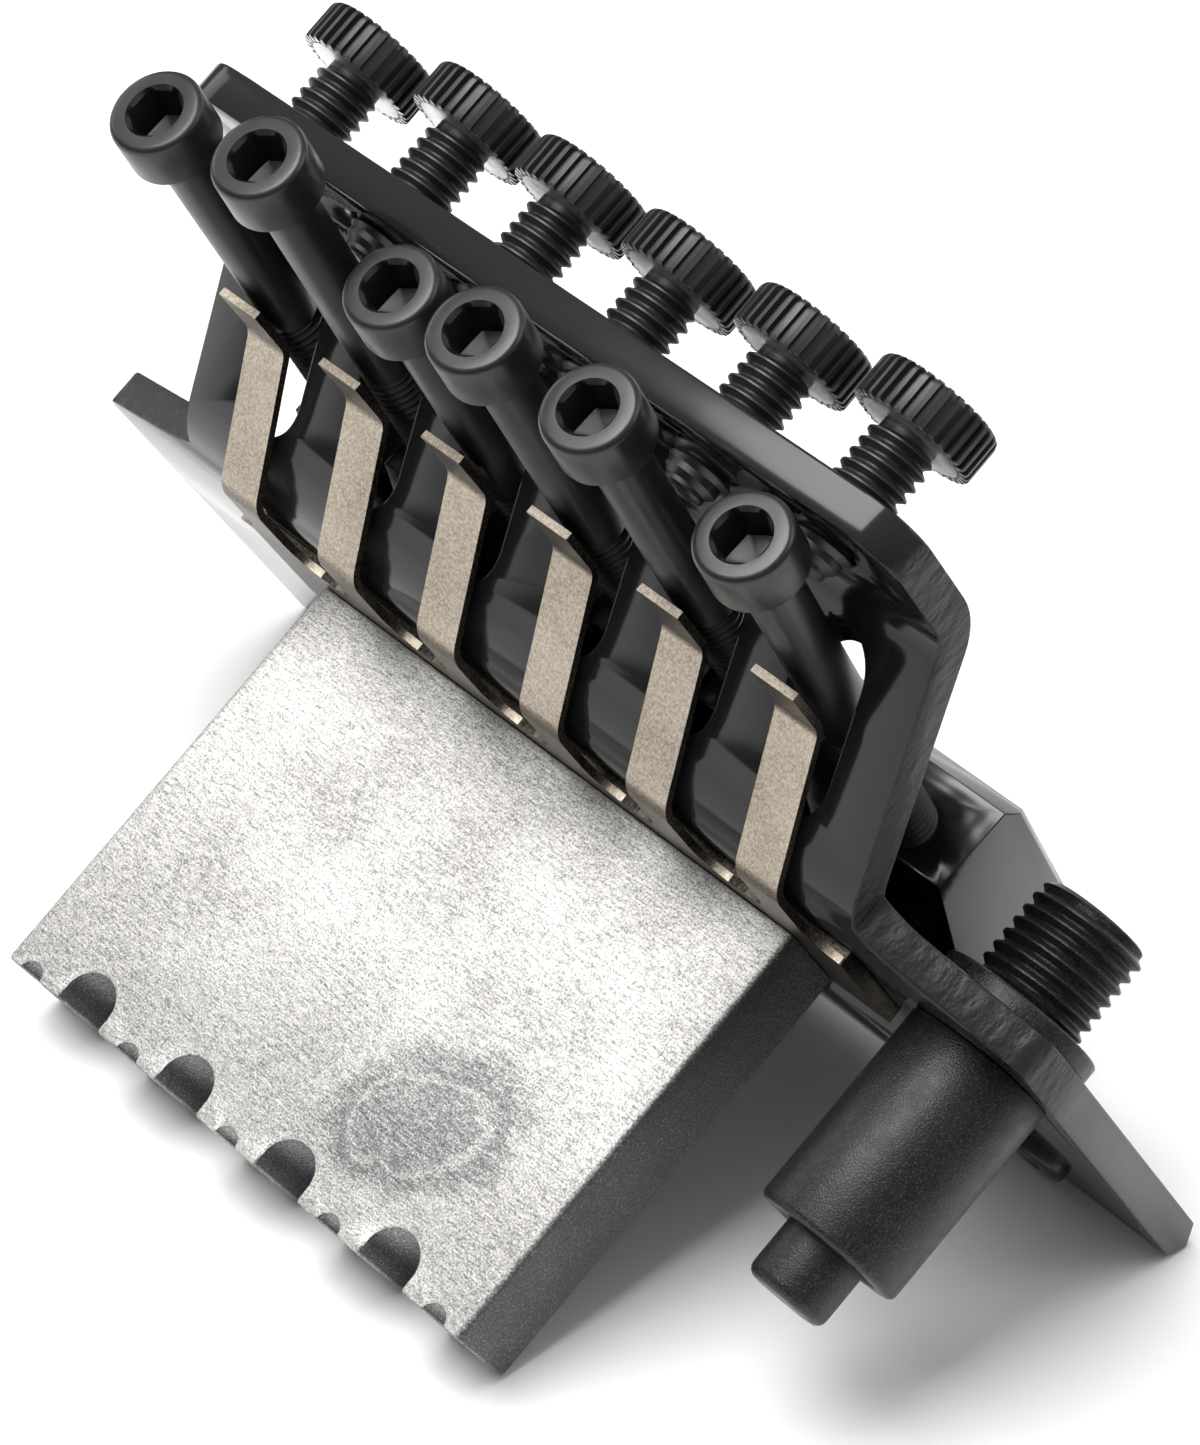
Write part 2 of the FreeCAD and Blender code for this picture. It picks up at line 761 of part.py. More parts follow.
def saddle_base(k):
    body = new_body(f"saddle_base_{k}")
    floor = "(-pin_height + seat_gap)"
    foot = new_sketch(body, "XY_Plane", z=floor)
    rectangle(foot, ("-saddle_width / 2", "-base_back"), ("saddle_width / 2", "base_front"))
    pad(body, foot, "base_thickness")
    fillet(body, "base_corner_radius", lambda edge: straight(edge, 2) and at(edge, y="base_front"))

    post = new_sketch(body, "YZ_Plane")
    rectangle(post, ("-knuckle_radius", floor), ("knuckle_radius", "0"))
    pad(body, post, "knuckle_width", midplane=True)
    knuckle = new_sketch(body, "YZ_Plane")
    circle(knuckle, ("0", "0"), "knuckle_radius")
    pad(body, knuckle, "knuckle_width", midplane=True)
    eye = new_sketch(body, "YZ_Plane")
    circle(eye, ("0", "0"), "pin_diameter / 2 + fit_gap")
    pocket(body, eye, midplane=True)

    opening = new_sketch(body, "XY_Plane")
    slot(opening, "0", "saddle_screw_reach - base_slot_travel", "base_front + overrun", "base_slot_width / 2")
    pocket(body, opening)
    on_pin(body, k)
    return node(body)


def saddle_lever(k):
    body = new_body(f"saddle_lever_{k}")
    side = new_sketch(body, "YZ_Plane")
    outline(side, [
        ("-lever_back", "-tail_floor"),
        ("-lever_back", "lever_top - bevel_height"),
        ("-lever_back + bevel_length", "lever_top"),
        ("-shoulder_back", "lever_top"),
        ("-crest_back", "crest_height"),
        ("lever_nose", "crest_height"),
        ("lever_nose", "-lever_floor + lever_heel"),
        ("lever_nose - lever_heel", "-lever_floor"),
        ("-belly_front", "-lever_floor"),
        ("-belly_front", "-belly_floor"),
        ("-belly_back", "-belly_floor"),
    ])
    pad(body, side, "saddle_width", midplane=True)
    fillet(body, "nose_radius", lambda edge: straight(edge, 0) and at(edge, y="lever_nose", z="crest_height"))
    chamfer(body, "lever_edge", lambda edge: straight(edge, 1) and at(edge, z="lever_top"))

    fork = new_sketch(body, "XY_Plane", z="fork_height")
    rectangle(fork, ("-fork_width / 2", "-fork_back"), ("fork_width / 2", "lever_nose + overrun"))
    pocket(body, fork)
    cavity = new_sketch(body, "XY_Plane", z="lever_top")
    rectangle(cavity, ("-cavity_width / 2", "-cavity_front - cavity_length"),
              ("cavity_width / 2", "-cavity_front"))
    pocket(body, cavity, "lever_top - cavity_floor")
    string_slot = new_sketch(body, "XZ_Plane", z="cavity_front + clamp_gap")
    rectangle(string_slot, ("-string_slot_width / 2", "string_slot_floor"),
              ("string_slot_width / 2", "lever_top + overrun"))
    pocket(body, string_slot)

    eye = new_sketch(body, "YZ_Plane")
    circle(eye, ("0", "0"), "pin_diameter / 2 + seat_gap")
    pocket(body, eye, midplane=True)
    bore = new_sketch(body, "XZ_Plane", y="lock_height", z="lever_back")
    circle(bore, ("0", "0"), "lock_diameter / 2 + fit_gap")
    pocket(body, bore, "lever_back - cavity_front - cavity_length / 2")
    on_lever(body, k)
    return node(body)


def saddle_pin(k):
    body = new_body(f"saddle_pin_{k}")
    end, radius = "pin_length / 2", "pin_diameter / 2"
    half = new_sketch(body, "XZ_Plane")
    outline(half, [
        (f"-{end}", "0"),
        (f"-{end}", f"{radius} - pin_chamfer"),
        (f"-{end} + pin_chamfer", radius),
        (f"{end} - pin_chamfer", radius),
        (end, f"{radius} - pin_chamfer"),
        (end, "0"),
    ])
    turn(body, half, "H_Axis")
    on_lever(body, k)
    return node(body)


CLAMP_BACK = "(-cavity_front - cavity_length + clamp_gap)"


def string_clamp(k):
    body = new_body(f"string_clamp_{k}")
    half = "(cavity_width / 2 - clamp_gap)"
    foot = new_sketch(body, "XY_Plane", z="cavity_floor + clamp_gap")
    rectangle(foot, (f"-{half}", CLAMP_BACK), (half, f"{CLAMP_BACK} + clamp_thickness"))
    pad(body, foot, "clamp_height")
    top = "cavity_floor + clamp_gap + clamp_height"
    chamfer(body, "clamp_chamfer", lambda edge: straight(edge, 0) and at(edge, z=top))
    on_lever(body, k)
    return node(body)


def lock_screw(k):
    body = new_body(f"lock_screw_{k}")
    shank, head = "lock_diameter / 2", "lock_head_diameter / 2"
    half = new_sketch(body, "YZ_Plane", y="lock_height")
    outline(half, [
        (CLAMP_BACK, "0"),
        (CLAMP_BACK, f"{shank} - lock_tip_chamfer"),
        (f"{CLAMP_BACK} - lock_tip_chamfer", shank),
        ("-lock_reach + lock_head_height", shank),
        ("-lock_reach + lock_head_height", head),
        ("-lock_reach + lock_head_edge", head),
        ("-lock_reach", f"{head} - lock_head_edge"),
        ("-lock_reach", "0"),
    ])
    turn(body, half, "H_Axis")
    key = new_sketch(body, "XZ_Plane", y="lock_height", z="lock_reach")
    hexagon(key, "lock_hex")
    pocket(body, key, "lock_recess")
    on_lever(body, k)
    return node(body)


def saddle_screws():
    foot_top = f"({PLATE_TOP} + base_thickness + 2 * seat_gap)"
    top = f"({foot_top} + saddle_screw_head_height)"
    tail = f"({PLATE_UNDER} - saddle_screw_tail)"
    profile = [
        ("0", tail),
        ("saddle_screw_diameter / 2", tail),
        ("saddle_screw_diameter / 2", foot_top),
        ("saddle_screw_head / 2", foot_top),
        ("saddle_screw_head / 2", top),
        ("0", top),
    ]
    screws = []
    for k in range(1, STRINGS + 1):
        screw = turned_screw(f"saddle_screw_{k}", profile, "saddle_screw_hex", "saddle_screw_recess", top)
        place(screw, x=string_x(k), y=f"{pin_y(k)} + saddle_screw_reach")
        screws.append(screw)
    return group("saddle_screws", screws)


# Fine tuners: each stands just above the shank of its lock screw


def fine_tuner(k):
    body = new_body(f"fine_tuner_{k}")
    thread, neck, tip = "tuner_diameter / 2", "tuner_neck_diameter / 2", "tuner_tip_diameter / 2"
    knob = "knob_diameter / 2"
    top = "(tuner_length + knob_thickness)"
    half = new_sketch(body, "XZ_Plane")
    outline(half, [
        ("0", "0"),
        (tip, "0"),
        (tip, "tuner_tip_length"),
        (thread, f"tuner_tip_length + {thread} - {tip}"),
        (thread, "tuner_length - tuner_neck_length"),
        (neck, "tuner_length - tuner_neck_length"),
        (neck, "tuner_length"),
        (knob, "tuner_length"),
        (knob, f"{top} - knob_edge"),
        (f"{knob} - knob_edge", top),
        ("0", top),
    ])
    turn(body, half, "V_Axis")
    flute = new_sketch(body, "XY_Plane", z="tuner_length")
    outline(flute, [
        (f"{knob} - flute_depth", "0"),
        (f"{knob} + flute_depth", "-flute_width"),
        (f"{knob} + flute_depth", "flute_width"),
    ])
    first = pocket(body, flute, "knob_thickness", back=True)
    ring = body.newObject("PartDesign::PolarPattern", "flutes")
    ring.Originals = [first]
    ring.Axis = (flute, ["N_Axis"])
    ring.Angle = 360
    ring.Occurrences = FLUTES
    body.Tip = ring

    arm = f"(tuner_setback - pin_setback - shift_{k})"
    shank_top = f"{arm} * tan(tilt_{k}) + (lock_height + lock_diameter / 2) / cos(tilt_{k})"
    place(body, x=string_x(k), y="-tuner_setback", z=f"{PIN_Z} + {shank_top} + tuner_gap")
    return node(body)


base_plate()
sustain_block()
block_screws()
edge_screws()
leaf_spring()
spring_backing()
arm_socket()
arm_socket_nut()
saddle_screws()
for string in range(1, STRINGS + 1):
    saddle_base(string)
    saddle_lever(string)
    saddle_pin(string)
    string_clamp(string)
    lock_screw(string)
    fine_tuner(string)
doc.recompute()

for item in doc.Objects:
    if {"Invalid", "Error"} & set(item.State):
        raise RuntimeError(f"{item.Label} failed: {item.State}")
for item in nodes:
    if item.Shape.isNull() or not item.Shape.isValid():
        raise RuntimeError(f"{item.Label} has no valid shape")

os.makedirs("parts", exist_ok=True)
for item in nodes:
    item.Shape.exportStep(os.path.join("parts", f"{item.Label}.step"))
    box = item.Shape.BoundBox
    print(f"{item.Label}: {len(item.Shape.Solids)} solid, {item.Shape.Volume:.1f} mm3,"
          f" x {box.XMin:.2f} {box.XMax:.2f}, y {box.YMin:.2f} {box.YMax:.2f}, z {box.ZMin:.2f} {box.ZMax:.2f}")
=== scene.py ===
# %% [markdown]
# # A double-locking guitar tremolo bridge
# The bridge lies on its front on a white table, so that its underside and its
# six string-lock screws show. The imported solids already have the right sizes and
# places. This lesson dresses them: it rounds edges, cuts threads, flutes the
# tuner knobs, bends the leaf spring and gives each metal its own finish.

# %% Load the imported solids
import json
import math

import bmesh
import bpy
from mathutils import Matrix, Vector


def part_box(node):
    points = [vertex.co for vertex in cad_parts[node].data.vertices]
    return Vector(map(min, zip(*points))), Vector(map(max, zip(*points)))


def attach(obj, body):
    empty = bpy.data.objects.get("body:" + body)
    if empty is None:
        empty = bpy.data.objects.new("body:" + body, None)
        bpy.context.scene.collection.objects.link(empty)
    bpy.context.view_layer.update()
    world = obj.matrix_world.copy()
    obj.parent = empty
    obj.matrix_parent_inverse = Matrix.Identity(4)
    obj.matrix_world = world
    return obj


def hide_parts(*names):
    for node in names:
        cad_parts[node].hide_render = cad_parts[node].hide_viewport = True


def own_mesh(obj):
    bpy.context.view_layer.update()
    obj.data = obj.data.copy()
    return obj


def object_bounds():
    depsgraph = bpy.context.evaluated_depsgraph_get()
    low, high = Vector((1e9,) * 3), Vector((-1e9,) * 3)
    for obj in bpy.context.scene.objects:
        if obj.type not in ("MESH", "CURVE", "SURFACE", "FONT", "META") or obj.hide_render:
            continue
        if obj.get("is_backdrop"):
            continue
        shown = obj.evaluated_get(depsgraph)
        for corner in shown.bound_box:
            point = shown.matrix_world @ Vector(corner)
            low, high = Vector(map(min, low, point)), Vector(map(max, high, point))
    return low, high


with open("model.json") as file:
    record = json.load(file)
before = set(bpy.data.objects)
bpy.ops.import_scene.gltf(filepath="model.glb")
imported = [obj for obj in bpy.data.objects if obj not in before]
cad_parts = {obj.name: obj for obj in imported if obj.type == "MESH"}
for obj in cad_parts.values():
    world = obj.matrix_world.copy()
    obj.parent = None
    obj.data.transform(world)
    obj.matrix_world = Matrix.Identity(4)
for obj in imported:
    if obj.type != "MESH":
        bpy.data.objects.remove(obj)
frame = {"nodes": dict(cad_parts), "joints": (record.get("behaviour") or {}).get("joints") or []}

MM = 0.001
STRINGS = range(1, 7)
PLATE_BODY = "bridge_plate"
cad_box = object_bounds()
joints = {joint["name"]: joint for joint in frame["joints"]}
print(f"{len(frame['nodes'])} solids, box {[round(v / MM, 1) for v in cad_box[1] - cad_box[0]]} mm")

# %% [markdown]
# ## Shared helpers
# Every object is linked to the scene in the same way. Shaders and Geometry Nodes
# both count with Math nodes, so one function makes them all.

# %% Shared helpers


def in_scene(name, data):
    """A new object with the given data, linked to the scene."""
    thing = bpy.data.objects.new(name, data)
    bpy.context.scene.collection.objects.link(thing)
    return thing


def maths(tree, operation, *values):
    """A Math node, fed with sockets or numbers."""
    step = tree.nodes.new("ShaderNodeMath")
    step.operation = operation
    for socket, value in zip(step.inputs, values):
        if isinstance(value, (int, float)):
            socket.default_value = value
        else:
            tree.links.new(value, socket)
    return step.outputs["Value"]


def weighted(tree, *pairs):
    """The sum of some sockets, each times its weight."""
    shares = [maths(tree, "MULTIPLY", source, weight) for source, weight in pairs]
    total = shares[0]
    for share in shares[1:]:
        total = maths(tree, "ADD", total, share)
    return total


def spread(tree, source, seen, wanted):
    """Maps the seen range of a value to the wanted one."""
    change = tree.nodes.new("ShaderNodeMapRange")
    change.inputs["From Min"].default_value = seen[0]
    change.inputs["From Max"].default_value = seen[1]
    change.inputs["To Min"].default_value = wanted[0]
    change.inputs["To Max"].default_value = wanted[1]
    tree.links.new(source, change.inputs["Value"])
    return change.outputs["Result"]


print("helpers ready")

# %% [markdown]
# ## The camera
# The camera looks from behind and a little below, and it is rolled to one side,
# because the bridge lies across the picture. An aim point, two angles, a roll and a
# distance describe that better than a matrix does. The long lens keeps the
# perspective as flat as it is in the picture.

# %% Camera
AIM = Vector((2.42, -33.06, 1.31)) * MM
CAMERA_AZIMUTH = math.radians(33.127)
CAMERA_ELEVATION = math.radians(-5.912)
CAMERA_ROLL = math.radians(40.172)
CAMERA_DISTANCE = 352 * MM
SENSOR_WIDTH = 36
FOCAL_LENGTH = 124.314
CLIP_NEAR = 10 * MM
CLIP_FAR = 10

back = Vector((
    math.sin(CAMERA_AZIMUTH) * math.cos(CAMERA_ELEVATION),
    -math.cos(CAMERA_AZIMUTH) * math.cos(CAMERA_ELEVATION),
    math.sin(CAMERA_ELEVATION),
))
turn = (-back).to_track_quat("-Z", "Y").to_matrix() @ Matrix.Rotation(CAMERA_ROLL, 3, "Z")
image_right = turn.col[0].copy()
camera = in_scene("camera", bpy.data.cameras.new("camera"))
camera.data.sensor_width = SENSOR_WIDTH
camera.data.lens = FOCAL_LENGTH
camera.data.clip_start = CLIP_NEAR
camera.data.clip_end = CLIP_FAR
camera.matrix_world = Matrix.Translation(AIM + back * CAMERA_DISTANCE) @ turn.to_4x4()
bpy.context.scene.camera = camera
print(f"camera at {[round(v / MM, 1) for v in camera.location]} mm")

# %% [markdown]
# ## The table
# The bridge rests on its two knife edges and on the lower front edge of its block,
# so the table is the plane through those lines. It is a card that fades out
# towards its rim and shows only from above, so that no side of the bridge is hidden.

# %% Table
TABLE_SHIFT = -40 * MM
TABLE_AHEAD = 27 * MM
TABLE_HALF = 420 * MM
TABLE_FADE = (260 * MM, 400 * MM)
TABLE_DROP = 0.05 * MM
TABLE_WHITE = (0.93, 0.93, 0.93, 1)
TABLE_ROUGHNESS = 0.7
TABLE_SPECULAR = 0.1

block_low, block_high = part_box("sustain_block")
across = Vector((1, 0, 0))
table_along = -Vector((0, block_high.y, block_low.z)).normalized()
table_normal = Vector((0, -table_along.z, table_along.y))
table_centre = across * TABLE_SHIFT + table_along * TABLE_AHEAD


def table_card():
    middle = table_centre - table_normal * TABLE_DROP
    corners = [
        middle + across * TABLE_HALF * u + table_along * TABLE_HALF * v
        for u, v in ((-1, -1), (1, -1), (1, 1), (-1, 1))
    ]
    card = bpy.data.meshes.new("table")
    card.from_pydata(corners, [], [(0, 1, 2, 3)])
    if card.polygons[0].normal.dot(table_normal) < 0:
        card.flip_normals()
    return card


def table_paint():
    """White, and clear near the rim and from below."""
    paint = bpy.data.materials.new("white table")
    paint.use_nodes = True
    tree = paint.node_tree
    white = tree.nodes["Principled BSDF"]
    white.inputs["Base Color"].default_value = TABLE_WHITE
    white.inputs["Roughness"].default_value = TABLE_ROUGHNESS
    white.inputs["Specular IOR Level"].default_value = TABLE_SPECULAR
    clear = tree.nodes.new("ShaderNodeBsdfTransparent")
    place = tree.nodes.new("ShaderNodeTexCoord")
    reach = tree.nodes.new("ShaderNodeVectorMath")
    reach.operation = "DISTANCE"
    reach.inputs[1].default_value = table_centre
    tree.links.new(place.outputs["Object"], reach.inputs[0])
    fade = spread(tree, reach.outputs["Value"], TABLE_FADE, (0, 1))
    under = tree.nodes.new("ShaderNodeNewGeometry")
    blend = tree.nodes.new("ShaderNodeMixShader")
    tree.links.new(maths(tree, "MAXIMUM", under.outputs["Backfacing"], fade), blend.inputs["Fac"])
    tree.links.new(white.outputs["BSDF"], blend.inputs[1])
    tree.links.new(clear.outputs["BSDF"], blend.inputs[2])
    tree.links.new(blend.outputs["Shader"], tree.nodes["Material Output"].inputs["Surface"])
    return paint


table = in_scene("table", table_card())
table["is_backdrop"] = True
table.data.materials.append(table_paint())
print(f"table normal {[round(v, 3) for v in table_normal]}")

# %% [markdown]
# ## The light
# A large soft lamp stands over the table and makes the main light. Three weaker ones
# brighten the right, the saddles and the left. The room is bright above the table and
# dim at its level, so black metal shows both, and the camera sees it plain white.

# %% Light
# Each lamp has its place from the aim point and the length of its side, in metres, and its power in watts.
LAMPS = {
    "overhead lamp": (Vector((-0.15, -0.93, 0.3)) * 0.55, 0.38, 3.8),
    "right lamp": (table_normal * 0.35 + image_right * 0.45, 0.35, 0.6),
    "top lamp": (Vector((-0.2, 0.55, 0.8)) * 0.55, 0.5, 1.0),
    "left lamp": (Vector((-0.9, -0.42, 0.1)) * 0.5, 0.26, 0.45),
}
ROOM_WHITE = (1, 1, 1, 1)
ROOM_RISE = (0.1, 0.9)
ROOM_STRENGTH = (0.14, 0.55)

for name, (way, side, power) in LAMPS.items():
    lamp = bpy.data.lights.new(name, "AREA")
    lamp.size = side
    lamp.energy = power
    holder = in_scene(name, lamp)
    holder.location = AIM + way
    holder.rotation_mode = "QUATERNION"
    holder.rotation_quaternion = (-way).to_track_quat("-Z", "Y")

world = bpy.data.worlds.new("white room")
bpy.context.scene.world = world
world.use_nodes = True
tree = world.node_tree
room = tree.nodes["Background"]
room.inputs["Color"].default_value = ROOM_WHITE
sky = tree.nodes.new("ShaderNodeTexCoord")
height = tree.nodes.new("ShaderNodeVectorMath")
height.operation = "DOT_PRODUCT"
height.inputs[1].default_value = table_normal
tree.links.new(sky.outputs["Generated"], height.inputs[0])
tree.links.new(spread(tree, height.outputs["Value"], ROOM_RISE, ROOM_STRENGTH), room.inputs["Strength"])
backdrop = tree.nodes.new("ShaderNodeBackground")
backdrop.inputs["Color"].default_value = ROOM_WHITE
seen = tree.nodes.new("ShaderNodeLightPath")
choose = tree.nodes.new("ShaderNodeMixShader")
tree.links.new(seen.outputs["Is Camera Ray"], choose.inputs["Fac"])
tree.links.new(room.outputs["Background"], choose.inputs[1])
tree.links.new(backdrop.outputs["Background"], choose.inputs[2])
tree.links.new(choose.outputs["Shader"], tree.nodes["World Output"].inputs["Surface"])
bpy.context.scene.view_settings.view_transform = "Standard"
print(f"{len(LAMPS)} soft lamps and a room that is bright above the table")

# %% [markdown]
# ## Finishes
# Eight finishes cover the bridge: five blacks, raw die-cast zinc on the block, and
# spring steel, bare on the fingers and darkened with painted shade where it is clamped.
# Each is a Principled shader with noise on Object coordinates, so the grain keeps its
# size and stays on the piece.

# %% Helpers for finishes
# Most values of a noise lie in this range.
NOISE_SPAN = (0.35, 0.65)


def new_finish(name, colour, metallic, ior):
    """A Principled material with the numbers that are the same all over."""
    material = bpy.data.materials.new(name)
    material.use_nodes = True
    shader = material.node_tree.nodes["Principled BSDF"]
    shader.inputs["Base Color"].default_value = (*colour, 1)
    shader.inputs["Metallic"].default_value = metallic
    shader.inputs["IOR"].default_value = ior
    return material, material.node_tree, shader


def noise(tree, per_metre, detail, stretch=(1, 1, 1)):
    """Noise with so many grains per metre, pulled out along the axes with a small stretch."""
    place = tree.nodes.new("ShaderNodeTexCoord")
    pull = tree.nodes.new("ShaderNodeMapping")
    pull.inputs["Scale"].default_value = stretch
    grain = tree.nodes.new("ShaderNodeTexNoise")
    grain.inputs["Scale"].default_value = per_metre
    grain.inputs["Detail"].default_value = detail
    tree.links.new(place.outputs["Object"], pull.inputs["Vector"])
    tree.links.new(pull.outputs["Vector"], grain.inputs["Vector"])
    return grain.outputs["Fac"]


def roughen(tree, shader, source, low, high):
    """Roughness that drifts with a noise between two values."""
    tree.links.new(spread(tree, source, NOISE_SPAN, (low, high)), shader.inputs["Roughness"])


def tint(tree, shader, source, stops):
    """Colours the surface by a value, through stops of (place, colour)."""
    ramp = tree.nodes.new("ShaderNodeValToRGB")
    while len(ramp.color_ramp.elements) < len(stops):
        ramp.color_ramp.elements.new(0.5)
    for element, (where, colour) in zip(ramp.color_ramp.elements, stops):
        element.position = where
        element.color = (*colour, 1)
    tree.links.new(source, ramp.inputs["Fac"])
    tree.links.new(ramp.outputs["Color"], shader.inputs["Base Color"])


def emboss(tree, shader, source, depth, strength):
    """Turns a value into small relief of the given depth."""
    relief = tree.nodes.new("ShaderNodeBump")
    relief.inputs["Strength"].default_value = strength
    relief.inputs["Distance"].default_value = depth
    tree.links.new(source, relief.inputs["Height"])
    tree.links.new(relief.outputs["Normal"], shader.inputs["Normal"])


def part_of(tree, output, axis):
    """One component of the surface's normal or place, in the piece's own axes."""
    place = tree.nodes.new("ShaderNodeTexCoord")
    split = tree.nodes.new("ShaderNodeSeparateXYZ")
    tree.links.new(place.outputs[output], split.inputs["Vector"])
    return split.outputs[axis]


def facing(tree, axis):
    """How squarely the surface looks along an axis, either way."""
    return maths(tree, "ABSOLUTE", part_of(tree, "Normal", axis))


print("finish helpers ready")

# %% [markdown]
# The sheet of the plate was sheared, so its cut sides are torn along the ramp and
# ground smooth at the ears. Both are shares between nought and one, which add relief
# and roughness where they apply.

# %% Finish of the plate
PLATE_BLACK = (0.011, 0.0113, 0.0122)
GROUND_GREY = (0.06, 0.061, 0.064)
TORN_ROUGHNESS = 0.35
GROUND_ROUGHNESS = 0.2
SIDE_FACING = (0.75, 0.95)
# Ahead of this place along Y, sides that slant count as cut too.
SLANT_FROM = -47 * MM
SLANT_EASE = 0.5
GROUND_FROM = -30 * MM
GROUND_BLEND = 2 * MM


def cut_edges(tree):
    """Two shares of the sheet's cut sides: torn behind a place along Y, and ground smooth ahead of it."""
    along = part_of(tree, "Object", "Y")
    ease = spread(tree, along, (SLANT_FROM - MM, SLANT_FROM), (0, SLANT_EASE))
    cut = spread(tree, maths(tree, "ADD", facing(tree, "X"), ease), SIDE_FACING, (0, 1))
    ahead = spread(tree, along, (GROUND_FROM - GROUND_BLEND, GROUND_FROM + GROUND_BLEND), (0, 1))
    ground = maths(tree, "MULTIPLY", cut, ahead)
    return maths(tree, "SUBTRACT", cut, ground), ground


def plate_finish():
    material, tree, shader = new_finish("black plated sheet", PLATE_BLACK, metallic=0, ior=1.42)
    torn, ground = cut_edges(tree)
    tint(tree, shader, ground, [(0, PLATE_BLACK), (1, GROUND_GREY)])
    tear = maths(tree, "MULTIPLY", noise(tree, 900, 5, stretch=(1, 1, 0.6)), torn)
    skin = maths(tree, "MULTIPLY", noise(tree, 160, 2), 0.05)
    emboss(tree, shader, maths(tree, "ADD", tear, skin), depth=0.4 * MM, strength=0.8)
    cloud = spread(tree, noise(tree, 70, 3), NOISE_SPAN, (0.11, 0.17))
    worn = weighted(tree, (torn, TORN_ROUGHNESS), (ground, GROUND_ROUGHNESS))
    tree.links.new(maths(tree, "ADD", cloud, worn), shader.inputs["Roughness"])
    return material


finishes = {"plate": plate_finish()}
print("plate finish ready")

# %% [markdown]
# The other blacks differ in gloss and grain. The saddles are plated castings, the
# screws are black oxide, the knobs show bare metal on their undersides and the arm
# socket is gritty, with pale specks that are painted glints.

# %% Other black finishes
SADDLE_BLACK = (0.006, 0.0062, 0.007)
SCREW_BLACK = (0.01, 0.0103, 0.0112)
KNOB_BLACK = (0.015, 0.0153, 0.0162)
KNOB_BARE = (0.95, 0.95, 0.93)
SOCKET_BLACK = (0.009, 0.009, 0.0095)
GRIT_DARK = (0.006, 0.006, 0.0065)
GRIT_PAINTED_GLINT = (0.046, 0.046, 0.045)


def saddle_finish():
    material, tree, shader = new_finish("black plated casting", SADDLE_BLACK, metallic=0, ior=1.6)
    emboss(tree, shader, noise(tree, 700, 3), depth=0.02 * MM, strength=0.3)
    roughen(tree, shader, noise(tree, 120, 3), 0.16, 0.26)
    return material


def screw_finish():
    material, tree, shader = new_finish("black oxide screw", SCREW_BLACK, metallic=0, ior=1.52)
    emboss(tree, shader, noise(tree, 2600, 2), depth=0.015 * MM, strength=0.3)
    roughen(tree, shader, noise(tree, 300, 3), 0.28, 0.38)
    return material


def knob_finish():
    material, tree, shader = new_finish("black plated knob", KNOB_BLACK, metallic=0, ior=1.52)
    bare = spread(tree, part_of(tree, "Normal", "Z"), (-0.9, -0.98), (0, 1))
    tint(tree, shader, bare, [(0, KNOB_BLACK), (1, KNOB_BARE)])
    tree.links.new(bare, shader.inputs["Metallic"])
    roughen(tree, shader, noise(tree, 400, 3), 0.36, 0.46)
    return material


def socket_finish():
    material, tree, shader = new_finish("rough black socket", SOCKET_BLACK, metallic=0, ior=1.43)
    grit = noise(tree, 7500, 3)
    # The pale specks are painted glints. The bump from the same grit is real relief.
    tint(tree, shader, grit, [(0.5, GRIT_DARK), (0.72, GRIT_PAINTED_GLINT)])
    emboss(tree, shader, grit, depth=0.05 * MM, strength=0.8)
    roughen(tree, shader, noise(tree, 900, 3), 0.28, 0.42)
    return material


finishes["saddle"] = saddle_finish()
finishes["screw"] = screw_finish()
finishes["knob"] = knob_finish()
finishes["socket"] = socket_finish()
print(f"{len(finishes)} black finishes")

# %% [markdown]
# The zinc block comes straight from its die: bright, sandy and a little patchy, with
# one darker oval stain on its rear face. A small-scale noise makes the sparkle, a
# large one the patches, and the stain is a distance from one point of that face, with
# a faint paler ring in it. The ends and the notches carry painted shade, so they are darker than the broad
# faces.

# %% Finish of the zinc
ZINC_MEAN = (0.8, 0.79, 0.76)
ZINC_STOPS = [
    (0.24, (0.1, 0.104, 0.11)),
    (0.4, (0.3, 0.3, 0.3)),
    (0.5, (0.56, 0.547, 0.52)),
    (0.62, (0.79, 0.772, 0.737)),
]
STAIN_CENTRE = Vector((13.5 * MM, block_low.y, -28.2 * MM))
STAIN_SIZE = (9.5 * MM, 3 * MM, 6.5 * MM)
STAIN_TURN = math.radians(-31)
STAIN_RAGGED = 0.35
STAIN_RIM = (0.75, 0.95)
STAIN_DARK = 0.1
RING_REACH = 0.58
RING_FADE = (0.02, 0.07)
RING_PALE = 0.06
ENDS_PAINTED_SHADE = 0.26


def stain_shade(tree):
    """How much the stain darkens the face: nought past its ragged rim, and less along the ring in it."""
    place = tree.nodes.new("ShaderNodeTexCoord")
    oval = tree.nodes.new("ShaderNodeMapping")
    oval.vector_type = "TEXTURE"
    oval.inputs["Location"].default_value = STAIN_CENTRE
    oval.inputs["Rotation"].default_value = (0, STAIN_TURN, 0)
    oval.inputs["Scale"].default_value = STAIN_SIZE
    tree.links.new(place.outputs["Object"], oval.inputs["Vector"])
    reach = tree.nodes.new("ShaderNodeVectorMath")
    reach.operation = "LENGTH"
    tree.links.new(oval.outputs["Vector"], reach.inputs[0])
    wander = spread(tree, noise(tree, 300, 4), (0, 1), (-STAIN_RAGGED, STAIN_RAGGED))
    ragged = maths(tree, "ADD", reach.outputs["Value"], wander)
    from_ring = maths(tree, "ABSOLUTE", maths(tree, "SUBTRACT", ragged, RING_REACH))
    ring = spread(tree, from_ring, RING_FADE, (RING_PALE, 0))
    return maths(tree, "SUBTRACT", spread(tree, ragged, STAIN_RIM, (STAIN_DARK, 0)), ring)


